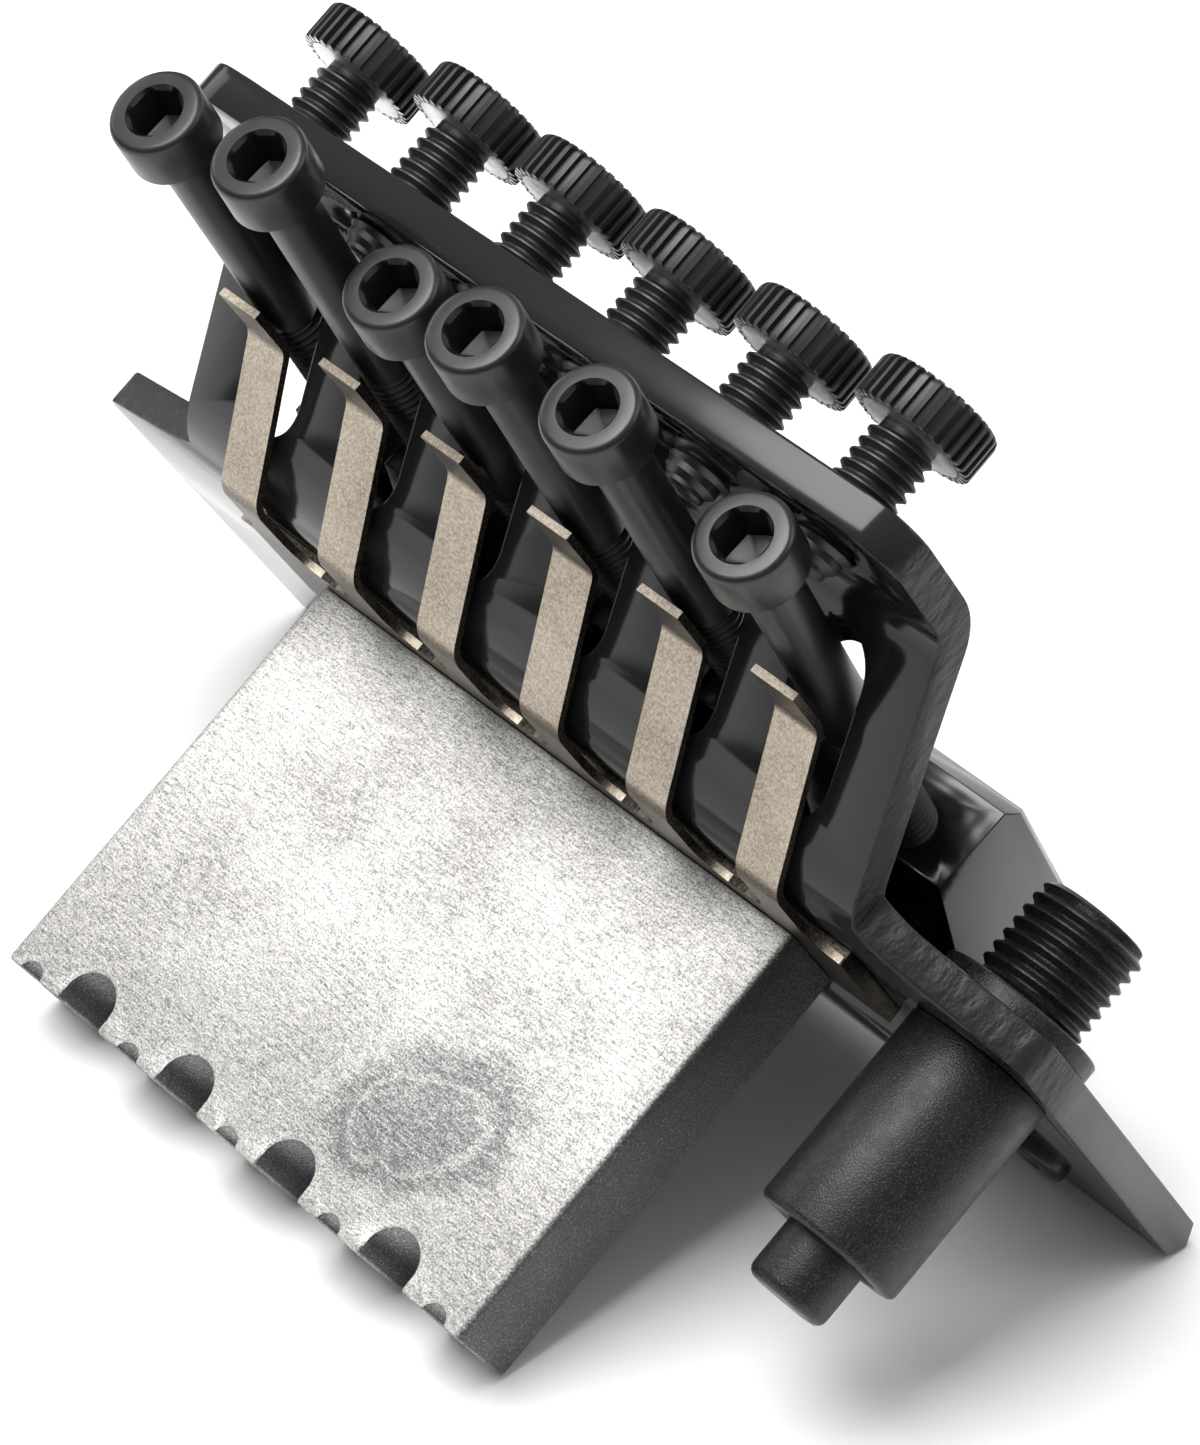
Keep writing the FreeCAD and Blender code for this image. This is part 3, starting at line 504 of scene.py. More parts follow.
def zinc_finish():
    material, tree, shader = new_finish("raw cast zinc", ZINC_MEAN, metallic=1, ior=1.5)
    patches = noise(tree, 90, 5)
    sand = noise(tree, 6500, 3)
    scratches = noise(tree, 6500, 2, stretch=(0.16, 1, 1))
    mixed = weighted(tree, (patches, 0.14), (sand, 0.54), (scratches, 0.32))
    bright = maths(tree, "SUBTRACT", mixed, stain_shade(tree))
    # Painted shade: faces that do not look along Y are darkened, and faces that look up or down are
    # darkened half as much.
    broad = spread(tree, facing(tree, "Y"), (0.55, 0.9), (0, 1))
    notch = spread(tree, facing(tree, "Z"), (0.2, 0.7), (0, 0.5))
    painted_shade_share = maths(tree, "SUBTRACT", maths(tree, "SUBTRACT", 1, broad), notch)
    tone = maths(tree, "SUBTRACT", bright, maths(tree, "MULTIPLY", painted_shade_share, ENDS_PAINTED_SHADE))
    tint(tree, shader, tone, ZINC_STOPS)
    emboss(tree, shader, sand, depth=0.08 * MM, strength=0.6)
    roughen(tree, shader, patches, 0.66, 0.54)
    return material


finishes["zinc"] = zinc_finish()
print("zinc finish ready")

# %% [markdown]
# Spring steel is rolled, so it has a fine grain. Painted shade darkens its cut sides
# and flat undersides, and all of the strip that is clamped under the plate.

# %% Finish of the spring steel
STEEL_MEAN = (0.6, 0.55, 0.47)
STEEL_STOPS = [
    (0, (0.04, 0.036, 0.03)),
    (0.32, (0.22, 0.188, 0.147)),
    (0.68, (0.53, 0.466, 0.384)),
]
STEEL_ROUGHNESS = 0.4
SIDE_PAINTED_SHADE = 0.42
UNDER_PAINTED_SHADE = 0.38
CLAMPED_PAINTED_SHADE = 0.42


def spring_finish(name, overall_painted_shade):
    """Bare steel with painted shade: darker all over by the share given, and darker still on its sides and
    undersides.
    """
    material, tree, shader = new_finish(name, STEEL_MEAN, metallic=1, ior=1.5)
    rolled = noise(tree, 5200, 3)
    grain = weighted(tree, (rolled, 0.7), (noise(tree, 160, 3), 0.3))
    # Painted shade: the sides and the undersides are darker, and the whole piece is darkened by the share
    # given.
    downwards = maths(tree, "MULTIPLY", part_of(tree, "Normal", "Z"), -1)
    sides = spread(tree, facing(tree, "X"), (0.3, 0.9), (overall_painted_shade, SIDE_PAINTED_SHADE))
    undersides = spread(tree, downwards, (0.8, 0.98), (overall_painted_shade, UNDER_PAINTED_SHADE))
    painted_shade_sum = maths(tree, "MAXIMUM", sides, undersides)
    tint(tree, shader, maths(tree, "SUBTRACT", grain, painted_shade_sum), STEEL_STOPS)
    emboss(tree, shader, rolled, depth=0.02 * MM, strength=0.4)
    shader.inputs["Roughness"].default_value = STEEL_ROUGHNESS
    return material


finishes["spring"] = spring_finish("bare spring steel", 0)
# The clamped strip and its backing are darkened all over with painted shade.
finishes["clamped spring"] = spring_finish("clamped spring steel in painted shade", CLAMPED_PAINTED_SHADE)
print(f"{len(finishes)} finishes in all")

# %% [markdown]
# ## Cast, stamped and cut pieces
# The plate, the block, the saddles and their small parts keep the shape of their
# solids. A solid's edges are perfectly sharp, which no metal is, so each piece is a
# welded copy of its solid with a narrow Bevel on every sharp edge. The light then
# catches the edges.

# %% Rounded copies of solids
WELD = 0.002 * MM
FLAT = math.radians(0.6)
SHARP = math.radians(38)
SMOOTH = math.radians(32)
BEVEL_STEPS = 2


def add_piece(name, mesh, body, node, finish):
    """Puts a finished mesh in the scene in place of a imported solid."""
    mesh.materials.clear()
    mesh.materials.append(finishes[finish])
    piece = in_scene(name, mesh)
    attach(piece, body)
    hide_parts(node)
    return piece


def settled(holder):
    """The holder's mesh with its modifiers worked in. The holder is taken away."""
    graph = bpy.context.evaluated_depsgraph_get()
    mesh = bpy.data.meshes.new_from_object(holder.evaluated_get(graph), depsgraph=graph)
    holder.modifiers.clear()
    bpy.data.objects.remove(holder)
    return mesh


def shade(mesh):
    """Smooth shading, with creases at sharp angles."""
    mesh.shade_smooth()
    mesh.set_sharp_from_angle(angle=SMOOTH)
    return mesh


def rounded_copy(node, edge_width):
    """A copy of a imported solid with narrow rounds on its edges, as wide as given in millimetres."""
    mesh = frame["nodes"][node].data.copy()
    shell = bmesh.new()
    shell.from_mesh(mesh)
    bmesh.ops.remove_doubles(shell, verts=shell.verts, dist=WELD)
    bmesh.ops.dissolve_limit(shell, angle_limit=FLAT, verts=shell.verts, edges=shell.edges)
    shell.to_mesh(mesh)
    shell.free()
    holder = in_scene(f"{node} copy", mesh)
    bevel = holder.modifiers.new("narrow round", "BEVEL")
    bevel.width = edge_width * MM
    bevel.segments = BEVEL_STEPS
    bevel.limit_method = "ANGLE"
    bevel.angle_limit = SHARP
    bevel.use_clamp_overlap = False
    return shade(settled(holder))


ROUNDED = {
    "base_plate": (PLATE_BODY, 0.22, "plate"),
    "sustain_block": (PLATE_BODY, 0.3, "zinc"),
    "spring_backing": (PLATE_BODY, 0.06, "clamped spring"),
}
for k in STRINGS:
    ROUNDED[f"saddle_base_{k}"] = (f"saddle_{k}", 0.15, "saddle")
    ROUNDED[f"saddle_lever_{k}"] = (f"lever_{k}", 0.09, "saddle")
    ROUNDED[f"saddle_pin_{k}"] = (f"lever_{k}", 0.05, "screw")
    ROUNDED[f"string_clamp_{k}"] = (f"string_lock_{k}", 0.15, "saddle")
for node, (body, edge_width, finish) in ROUNDED.items():
    piece = add_piece(f"{node}_rounded", rounded_copy(node, edge_width), body, node, finish)
    print(f"{piece.name}: {len(piece.data.polygons)} faces")

# %% [markdown]
# ## Turned pieces
# Screws, the arm socket and its nut are turned on a lathe, so a profile of rings
# describes them: each ring has a height and a radius. A hexagon socket is a ring
# that follows a hexagon instead of a circle, with the same number of points. Turned
# pieces are drawn in millimetres.

# %% Lathe helpers
RING_POINTS = 48


def round_ring(height, radius):
    return height, radius, False


def hex_ring(height, flat_width):
    return height, flat_width / 2, True


def arc(height, radius, bend, start, stop, steps=4):
    """Rings along an arc of the profile: its centre, its own radius and two angles from outwards."""
    rings = []
    for i in range(steps + 1):
        angle = math.radians(start + (stop - start) * i / steps)
        rings.append(round_ring(height + bend * math.sin(angle), radius + bend * math.cos(angle)))
    return rings


def ring_verts(shape, height, radius, hexagon):
    """The points of one ring. A ring of radius nought is a pole."""
    if radius == 0:
        return [shape.verts.new((0, 0, height))]
    verts = []
    for i in range(RING_POINTS):
        angle = 2 * math.pi * i / RING_POINTS
        swing = (angle + math.pi / 6) % (math.pi / 3) - math.pi / 6
        reach = radius / math.cos(swing) if hexagon else radius
        verts.append(shape.verts.new((reach * math.cos(angle), reach * math.sin(angle), height)))
    return verts


def turned(name, rings, closed=False):
    """The mesh of a turned solid. A closed one joins its last ring to its first."""
    shape = bmesh.new()
    loops = [ring_verts(shape, *ring) for ring in rings]
    pairs = list(zip(loops, loops[1:]))
    if closed:
        pairs.append((loops[-1], loops[0]))
    for low, high in pairs:
        for i in range(RING_POINTS):
            j = (i + 1) % RING_POINTS
            corner = [low[i % len(low)], low[j % len(low)], high[j % len(high)], high[i % len(high)]]
            shape.faces.new(list(dict.fromkeys(corner)))
    return to_mesh(name, shape)


def to_mesh(name, shape):
    """A mesh in metres from a bmesh in millimetres, with its faces turned outwards."""
    bmesh.ops.recalc_face_normals(shape, faces=shape.faces)
    bmesh.ops.scale(shape, vec=(MM, MM, MM), verts=shape.verts)
    mesh = bpy.data.meshes.new(name)
    shape.to_mesh(mesh)
    shape.free()
    return shade(mesh)


def joined(name, *parts):
    """One mesh from several pairs of a mesh and its place."""
    shape = bmesh.new()
    for mesh, place in parts:
        first = len(shape.verts)
        shape.from_mesh(mesh)
        shape.verts.ensure_lookup_table()
        bmesh.ops.transform(shape, matrix=place, verts=shape.verts[first:])
    mesh = bpy.data.meshes.new(name)
    shape.to_mesh(mesh)
    shape.free()
    return shade(mesh)


def lifted(height):
    return Matrix.Translation((0, 0, height * MM))


def foot_of(node):
    """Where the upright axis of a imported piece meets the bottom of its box."""
    low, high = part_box(node)
    return Vector(((low.x + high.x) / 2, (low.y + high.y) / 2, low.z))


print("lathe ready")

# %% [markdown]
# ## Geometry Nodes trees
# What repeats is made by trees. Each tree has named inputs, ends by making its copies
# real and giving them their finish, and is run once on a holder, whose plain mesh is
# then kept.

# %% Tree helpers


def new_tree(name, inputs):
    """An empty Geometry Nodes tree with named inputs, its input node and its output node."""
    tree = bpy.data.node_groups.new(name, "GeometryNodeTree")
    tree.interface.new_socket("Geometry", in_out="INPUT", socket_type="NodeSocketGeometry")
    for label, kind in inputs.items():
        tree.interface.new_socket(label, in_out="INPUT", socket_type=f"NodeSocket{kind}")
    tree.interface.new_socket("Geometry", in_out="OUTPUT", socket_type="NodeSocketGeometry")
    return tree, tree.nodes.new("NodeGroupInput"), tree.nodes.new("NodeGroupOutput")


def close_tree(tree, source, given, result):
    """Ends a tree: instances become real and get the piece's finish."""
    real = tree.nodes.new("GeometryNodeRealizeInstances")
    coat = tree.nodes.new("GeometryNodeSetMaterial")
    tree.links.new(source, real.inputs["Geometry"])
    tree.links.new(real.outputs["Geometry"], coat.inputs["Geometry"])
    tree.links.new(given.outputs["Finish"], coat.inputs["Material"])
    tree.links.new(coat.outputs["Geometry"], result.inputs["Geometry"])
    return tree


def grown(tree, mesh, **inputs):
    """Runs a tree on a mesh and returns the plain mesh that it makes."""
    holder = in_scene("holder", mesh)
    growth = holder.modifiers.new("growth", "NODES")
    growth.node_group = tree
    for item in tree.interface.items_tree:
        if item.in_out == "INPUT" and item.name in inputs:
            growth[item.identifier] = inputs[item.name]
    return settled(holder)


print("tree helpers ready")

# %% [markdown]
# ## Screw threads
# A thread is a strip wound round a core. A Grid gives the strip, and a few Math
# nodes wind it: across the grid the angle goes once round and the height climbs by
# one pitch, and from row to row the radius steps between root and crest. The ends
# are clamped flat, so the thread meets the core.

# %% Thread tree
# A turn has four rows: the start and the end of its root, and the start and the end of its crest.
ROWS_PER_TURN = 4
ROOT_END_SHARE = 0.16
CREST_START_SHARE = 0.52
CREST_END_SHARE = 0.66
SAME_ROW = 0.1
SPARE_TURNS = 2


def wound(tree, given, rows):
    """The place of each grid point on the thread. The grid reaches half a metre to each side."""
    spot = tree.nodes.new("GeometryNodeInputPosition")
    split = tree.nodes.new("ShaderNodeSeparateXYZ")
    tree.links.new(spot.outputs["Position"], split.inputs["Vector"])
    around = maths(tree, "ADD", split.outputs["X"], 0.5)
    row = maths(tree, "ROUND", maths(tree, "MULTIPLY", maths(tree, "ADD", split.outputs["Y"], 0.5), rows))
    phase = maths(tree, "MODULO", row, ROWS_PER_TURN)
    turn = maths(tree, "DIVIDE", maths(tree, "SUBTRACT", row, phase), ROWS_PER_TURN)
    root_end, crest_start, crest_end = (maths(tree, "COMPARE", phase, i, SAME_ROW) for i in (1, 2, 3))
    share = weighted(
        tree, (root_end, ROOT_END_SHARE), (crest_start, CREST_START_SHARE), (crest_end, CREST_END_SHARE),
    )
    climb = maths(tree, "ADD", turn, maths(tree, "ADD", share, maths(tree, "SUBTRACT", around, 1)))
    height = maths(tree, "MULTIPLY", climb, given.outputs["Pitch"])
    height = maths(tree, "MINIMUM", maths(tree, "MAXIMUM", height, 0), given.outputs["Length"])
    to_end = maths(tree, "MINIMUM", height, maths(tree, "SUBTRACT", given.outputs["Length"], height))
    crest = maths(tree, "ADD", crest_start, crest_end)
    proud = maths(tree, "MINIMUM", maths(tree, "MULTIPLY", crest, given.outputs["Depth"]), to_end)
    root = maths(tree, "SUBTRACT", given.outputs["Radius"], given.outputs["Depth"])
    radius = maths(tree, "ADD", root, proud)
    angle = maths(tree, "MULTIPLY", around, 2 * math.pi)
    join = tree.nodes.new("ShaderNodeCombineXYZ")
    tree.links.new(maths(tree, "MULTIPLY", radius, maths(tree, "COSINE", angle)), join.inputs["X"])
    tree.links.new(maths(tree, "MULTIPLY", radius, maths(tree, "SINE", angle)), join.inputs["Y"])
    tree.links.new(height, join.inputs["Z"])
    return join.outputs["Vector"]


def thread_tree():
    tree, given, result = new_tree("screw thread", {
        "Radius": "Float", "Depth": "Float", "Pitch": "Float", "Length": "Float",
        "Turns": "Int", "Points": "Int", "Finish": "Material",
    })
    grid = tree.nodes.new("GeometryNodeMeshGrid")
    grid.inputs["Size X"].default_value = 1
    grid.inputs["Size Y"].default_value = 1
    rows = maths(tree, "MULTIPLY", given.outputs["Turns"], ROWS_PER_TURN)
    tree.links.new(maths(tree, "ADD", given.outputs["Points"], 1), grid.inputs["Vertices X"])
    tree.links.new(maths(tree, "ADD", rows, 1), grid.inputs["Vertices Y"])
    wind = tree.nodes.new("GeometryNodeSetPosition")
    tree.links.new(grid.outputs["Mesh"], wind.inputs["Geometry"])
    tree.links.new(wound(tree, given, rows), wind.inputs["Position"])
    weld = tree.nodes.new("GeometryNodeMergeByDistance")
    weld.inputs["Distance"].default_value = WELD
    tree.links.new(wind.outputs["Geometry"], weld.inputs["Geometry"])
    return close_tree(tree, weld.outputs["Geometry"], given, result)


THREAD = thread_tree()


def screw_thread(radius, depth, pitch, length, finish):
    """A wound thread that stands on the origin, with sizes in millimetres."""
    return grown(
        THREAD, bpy.data.meshes.new("thread"),
        Radius=radius * MM, Depth=depth * MM, Pitch=pitch * MM, Length=length * MM,
        Turns=math.ceil(length / pitch) + SPARE_TURNS, Points=RING_POINTS, Finish=finishes[finish],
    )


print("thread tree ready")

# %% [markdown]
# ## String-lock screws
# Each saddle has a long socket-head screw that runs back through a slot in the
# ramp. It presses the string clamp, and the fine tuner presses on it. Its axis is
# the direction in which the joint of the lock slides.

# %% Lock screws
LOCK_REACH = 60.6
LOCK_HEIGHT = 2.2
LOCK_TIP = 14.9
LOCK_RADIUS = 2.0
LOCK_FILLET = 0.3
LOCK_HEAD = 3.4
LOCK_HEAD_HEIGHT = 4.0
LOCK_HEAD_EDGE = 0.5
LOCK_UNDER_EDGE = 0.25
LOCK_HEX = 3.6
LOCK_HEX_EDGE = 0.3
LOCK_CORNER_SHARE = 0.59
LOCK_RIM_SHARE = 0.62
LOCK_RECESS = 3.2
LOCK_RECESS_POINT = 0.6
LOCK_THREAD_FROM = 24.6
LOCK_THREAD_DEPTH = 0.38
LOCK_PITCH = 0.7


def lock_screw():
    """A lock screw that stands on the origin with its head down."""
    length = LOCK_REACH - LOCK_TIP
    root = LOCK_RADIUS - LOCK_THREAD_DEPTH
    core = turned("lock core", [
        round_ring(LOCK_RECESS + LOCK_RECESS_POINT, 0),
        hex_ring(LOCK_RECESS, LOCK_HEX),
        hex_ring(LOCK_HEX_EDGE, LOCK_HEX),
        round_ring(0, LOCK_HEX * LOCK_CORNER_SHARE),
        round_ring(0, LOCK_HEX * LOCK_RIM_SHARE),
        *arc(LOCK_HEAD_EDGE, LOCK_HEAD - LOCK_HEAD_EDGE, LOCK_HEAD_EDGE, -90, 0),
        *arc(LOCK_HEAD_HEIGHT - LOCK_UNDER_EDGE, LOCK_HEAD - LOCK_UNDER_EDGE, LOCK_UNDER_EDGE, 0, 90, 3),
        round_ring(LOCK_HEAD_HEIGHT, LOCK_RADIUS + LOCK_FILLET),
        round_ring(LOCK_HEAD_HEIGHT + LOCK_FILLET, LOCK_RADIUS),
        round_ring(LOCK_THREAD_FROM, LOCK_RADIUS),
        round_ring(LOCK_THREAD_FROM + LOCK_THREAD_DEPTH, root),
        round_ring(length, root),
        round_ring(length, 0),
    ])
    thread = screw_thread(LOCK_RADIUS, LOCK_THREAD_DEPTH, LOCK_PITCH, length - LOCK_THREAD_FROM, "screw")
    return joined("lock screw", (core, Matrix()), (thread, lifted(LOCK_THREAD_FROM)))


def lever_place(k):
    """The frame of saddle k's lever: its pivot pin, with y along the lock screw."""
    along = Vector(joints[f"string_lock_{k}"]["axis"]).normalized()
    turn = Matrix((across, along, across.cross(along))).transposed()
    return Matrix.Translation(joints[f"lever_tilt_{k}"]["pos_m"]) @ turn.to_4x4()


stand_to_along = Matrix.Rotation(math.radians(-90), 4, "X")
lock_place = Matrix.Translation((0, -LOCK_REACH * MM, LOCK_HEIGHT * MM)) @ stand_to_along
lock_mesh = lock_screw()
for k in STRINGS:
    mesh = lock_mesh.copy()
    mesh.transform(lever_place(k) @ lock_place)
    add_piece(f"lock_screw_{k}_turned", mesh, f"string_lock_{k}", f"lock_screw_{k}", "screw")
print(f"six lock screws of {len(lock_mesh.polygons)} faces")

# %% [markdown]
# ## Fine tuners
# A fine tuner is a short screw with a fluted knob. The flutes leave flat ribs, so
# one rib is drawn as a slice of the knob's profile, and a second tree sets copies of
# it round the axis: each copy is turned by its own share of the circle.

# %% Ribs of the knobs
TUNER_LENGTH = 10.8
KNOB_RADIUS = 4.65
KNOB_THICKNESS = 3.3
KNOB_EDGE = 0.55
RIBS = 32
RIB_WIDTH = 0.5
RIB_HEIGHT = 0.42
RIB_TAPER = 0.09
RIB_ROOT = 0.4
RIB_UNDER_EDGE = 0.2
RIB_END_ANGLE = 70
RIB_END_DROP = 0.05
knob_core = KNOB_RADIUS - RIB_HEIGHT
knob_top = TUNER_LENGTH + KNOB_THICKNESS


def rib_tree():
    tree, given, result = new_tree("ring of ribs", {"Count": "Int", "Rib": "Object", "Finish": "Material"})
    centre = tree.nodes.new("GeometryNodePoints")
    tree.links.new(given.outputs["Count"], centre.inputs["Count"])
    number = tree.nodes.new("GeometryNodeInputIndex")
    step = maths(tree, "DIVIDE", 2 * math.pi, given.outputs["Count"])
    turn = tree.nodes.new("ShaderNodeCombineXYZ")
    tree.links.new(maths(tree, "MULTIPLY", number.outputs["Index"], step), turn.inputs["Z"])
    rib = tree.nodes.new("GeometryNodeObjectInfo")
    tree.links.new(given.outputs["Rib"], rib.inputs["Object"])
    copies = tree.nodes.new("GeometryNodeInstanceOnPoints")
    tree.links.new(centre.outputs["Points"], copies.inputs["Points"])
    tree.links.new(rib.outputs["Geometry"], copies.inputs["Instance"])
    tree.links.new(turn.outputs["Vector"], copies.inputs["Rotation"])
    return close_tree(tree, copies.outputs["Instances"], given, result)


def knob_rib():
    """A slice of the knob's rim, as high as the knob and rounded at its ends."""
    inner = knob_core - RIB_ROOT
    rim = [
        round_ring(TUNER_LENGTH, inner),
        *arc(TUNER_LENGTH + RIB_UNDER_EDGE, KNOB_RADIUS - RIB_UNDER_EDGE, RIB_UNDER_EDGE, -90, 0, 2),
        *arc(knob_top - KNOB_EDGE, KNOB_RADIUS - KNOB_EDGE, KNOB_EDGE, 0, RIB_END_ANGLE),
        round_ring(knob_top - RIB_END_DROP, inner),
    ]
    shape = bmesh.new()
    flanks = []
    for side in (-1, 1):
        flank = []
        for height, radius, _ in rim:
            proud = max(0.0, radius - knob_core) / RIB_HEIGHT
            half = RIB_WIDTH / 2 - RIB_TAPER * proud
            flank.append(shape.verts.new((radius, side * half, height)))
        flanks.append(flank)
    first, second = flanks
    shape.faces.new(first)
    shape.faces.new(list(reversed(second)))
    for i in range(len(rim)):
        j = (i + 1) % len(rim)
        shape.faces.new([first[i], first[j], second[j], second[i]])
    return to_mesh("rib", shape)


rib = in_scene("rib", knob_rib())
rib_ring = grown(rib_tree(), bpy.data.meshes.new("ribs"), Count=RIBS, Rib=rib, Finish=finishes["knob"])
bpy.data.objects.remove(rib)
print(f"{RIBS} ribs of {len(rib_ring.polygons) // RIBS} faces")

# %% [markdown]
# The rest of a tuner is turned: a plain tip, the core of the thread, a short neck and
# the core of the knob, which the ribs stand on.

# %% Fine tuners
TUNER_RADIUS = 2.5
TUNER_TIP = 1.6
TUNER_TIP_LENGTH = 0.5
TUNER_TIP_EDGE = 0.2
TUNER_NECK = 2.05
TUNER_NECK_LENGTH = 0.4
TUNER_NECK_FILLET = 0.2
TUNER_THREAD_DEPTH = 0.45
TUNER_PITCH = 0.9
KNOB_UNDER_EDGE = 0.15


def fine_tuner():
    root = TUNER_RADIUS - TUNER_THREAD_DEPTH
    thread_low = TUNER_TIP_LENGTH + TUNER_RADIUS - TUNER_TIP
    thread_high = TUNER_LENGTH - TUNER_NECK_LENGTH
    core = turned("tuner core", [
        round_ring(0, 0),
        round_ring(0, TUNER_TIP - TUNER_TIP_EDGE),
        round_ring(TUNER_TIP_EDGE, TUNER_TIP),
        round_ring(TUNER_TIP_LENGTH, TUNER_TIP),
        round_ring(TUNER_TIP_LENGTH + root - TUNER_TIP, root),
        round_ring(thread_high, root),
        round_ring(TUNER_LENGTH, TUNER_NECK),
        round_ring(TUNER_LENGTH, TUNER_NECK + TUNER_NECK_FILLET),
        *arc(TUNER_LENGTH + KNOB_UNDER_EDGE, knob_core - KNOB_UNDER_EDGE, KNOB_UNDER_EDGE, -90, 0, 2),
        *arc(knob_top - KNOB_EDGE, knob_core - KNOB_EDGE, KNOB_EDGE, 0, 90),
        round_ring(knob_top, 0),
    ])
    thread = screw_thread(TUNER_RADIUS, TUNER_THREAD_DEPTH, TUNER_PITCH, thread_high - thread_low, "knob")
    return joined("fine tuner", (core, Matrix()), (thread, lifted(thread_low)), (rib_ring, Matrix()))


tuner_mesh = fine_tuner()
for k in STRINGS:
    mesh = tuner_mesh.copy()
    mesh.transform(Matrix.Translation(foot_of(f"fine_tuner_{k}")))
    add_piece(f"fine_tuner_{k}_fluted", mesh, f"tuner_{k}", f"fine_tuner_{k}", "knob")
print(f"six fine tuners of {len(tuner_mesh.polygons)} faces")

# %% [markdown]
# ## Arm socket and nut
# The tremolo arm plugs into a threaded tube beside the saddles. A collar seats it on
# the plate and a long plain nut clamps it from below. Both are turned, and
# the tube's upper end carries a fine thread for the arm's own collar nut.

# %% Arm socket and nut
PLATE_THICKNESS = 3.0
SOCKET_THREAD = 4.4
SOCKET_THREAD_DEPTH = 0.48
SOCKET_PITCH = 1.05
SOCKET_LIP = 0.1
SOCKET_BORE = 3.0
SOCKET_BORE_DEPTH = 20.0
SOCKET_BORE_EDGE = 0.25
SOCKET_RING = 6.3
SOCKET_RING_THICKNESS = 1.6
SOCKET_RING_EDGE = 0.3
SOCKET_RING_UNDER_EDGE = 0.2
SOCKET_STEM = 4.0
SOCKET_STEM_RECESS = 0.5
SOCKET_STUB = 3.15
SOCKET_STUB_EDGE = 0.8
NUT_RADIUS = 5.65
NUT_EDGE = 0.55
NUT_TOP_EDGE = 0.15
NUT_BORE_EDGE = 0.25
NUT_CLEARANCE = 0.05


def heights_of(node):
    """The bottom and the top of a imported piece, in millimetres."""
    return [corner.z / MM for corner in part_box(node)]


nut_low, nut_high = heights_of("arm_socket_nut")
socket_low, socket_high = heights_of("arm_socket")
nut_foot = foot_of("arm_socket_nut")
socket_place = Matrix.Translation((nut_foot.x, nut_foot.y, 0))


def arm_socket():
    ring_low = nut_high + PLATE_THICKNESS
    ring_top = ring_low + SOCKET_RING_THICKNESS
    thread_top = socket_high - SOCKET_LIP
    bore_end = socket_high - SOCKET_BORE_DEPTH
    root = SOCKET_THREAD - SOCKET_THREAD_DEPTH
    stem_end = nut_low + SOCKET_STEM_RECESS
    core = turned("socket core", [
        round_ring(socket_low, 0),
        *arc(socket_low + SOCKET_STUB_EDGE, SOCKET_STUB - SOCKET_STUB_EDGE, SOCKET_STUB_EDGE, -90, 0),
        round_ring(stem_end, SOCKET_STUB),
        round_ring(stem_end, SOCKET_STEM),
        round_ring(nut_high, SOCKET_STEM),
        round_ring(nut_high, SOCKET_THREAD),
        round_ring(ring_low, SOCKET_THREAD),
        round_ring(ring_low, SOCKET_RING - SOCKET_RING_UNDER_EDGE),
        round_ring(ring_low + SOCKET_RING_UNDER_EDGE, SOCKET_RING),
        *arc(ring_top - SOCKET_RING_EDGE, SOCKET_RING - SOCKET_RING_EDGE, SOCKET_RING_EDGE, 0, 90),
        round_ring(ring_top, root),
        round_ring(thread_top, root),
        round_ring(socket_high, root - SOCKET_LIP),
        round_ring(socket_high, SOCKET_BORE + SOCKET_BORE_EDGE),
        round_ring(socket_high - SOCKET_BORE_EDGE, SOCKET_BORE),
        round_ring(bore_end, SOCKET_BORE),
        round_ring(bore_end, 0),
    ])
    thread = screw_thread(SOCKET_THREAD, SOCKET_THREAD_DEPTH, SOCKET_PITCH, thread_top - ring_top, "socket")
    return joined("arm socket", (core, socket_place), (thread, socket_place @ lifted(ring_top)))


def arm_nut():
    bore = SOCKET_STEM + NUT_CLEARANCE
    nut = turned("nut", [
        round_ring(nut_low, bore + NUT_BORE_EDGE),
        *arc(nut_low + NUT_EDGE, NUT_RADIUS - NUT_EDGE, NUT_EDGE, -90, 0),
        *arc(nut_high - NUT_TOP_EDGE, NUT_RADIUS - NUT_TOP_EDGE, NUT_TOP_EDGE, 0, 90, 2),
        round_ring(nut_high, bore),
        round_ring(nut_low + NUT_BORE_EDGE, bore),
    ], closed=True)
    return joined("arm socket nut", (nut, socket_place))


add_piece("arm_socket_threaded", arm_socket(), PLATE_BODY, "arm_socket", "socket")
add_piece("arm_socket_nut_turned", arm_nut(), PLATE_BODY, "arm_socket_nut", "socket")
print(f"arm socket from {socket_low:.1f} to {socket_high:.1f} mm")

# %% [markdown]
# ## Small screws
# Six hold-down screws, three block screws and two screws under the knife edges
# repeat, so a third tree sets copies of one screw on points. The points are the
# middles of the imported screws, one small mesh for each kind.

# %% Rows of screws


def copies_tree():
    tree, given, result = new_tree("copies on points", {"Copy": "Object", "Finish": "Material"})
    master = tree.nodes.new("GeometryNodeObjectInfo")
    tree.links.new(given.outputs["Copy"], master.inputs["Object"])
    copies = tree.nodes.new("GeometryNodeInstanceOnPoints")
    tree.links.new(given.outputs["Geometry"], copies.inputs["Points"])
    tree.links.new(master.outputs["Geometry"], copies.inputs["Instance"])
    return close_tree(tree, copies.outputs["Instances"], given, result)


COPIES = copies_tree()


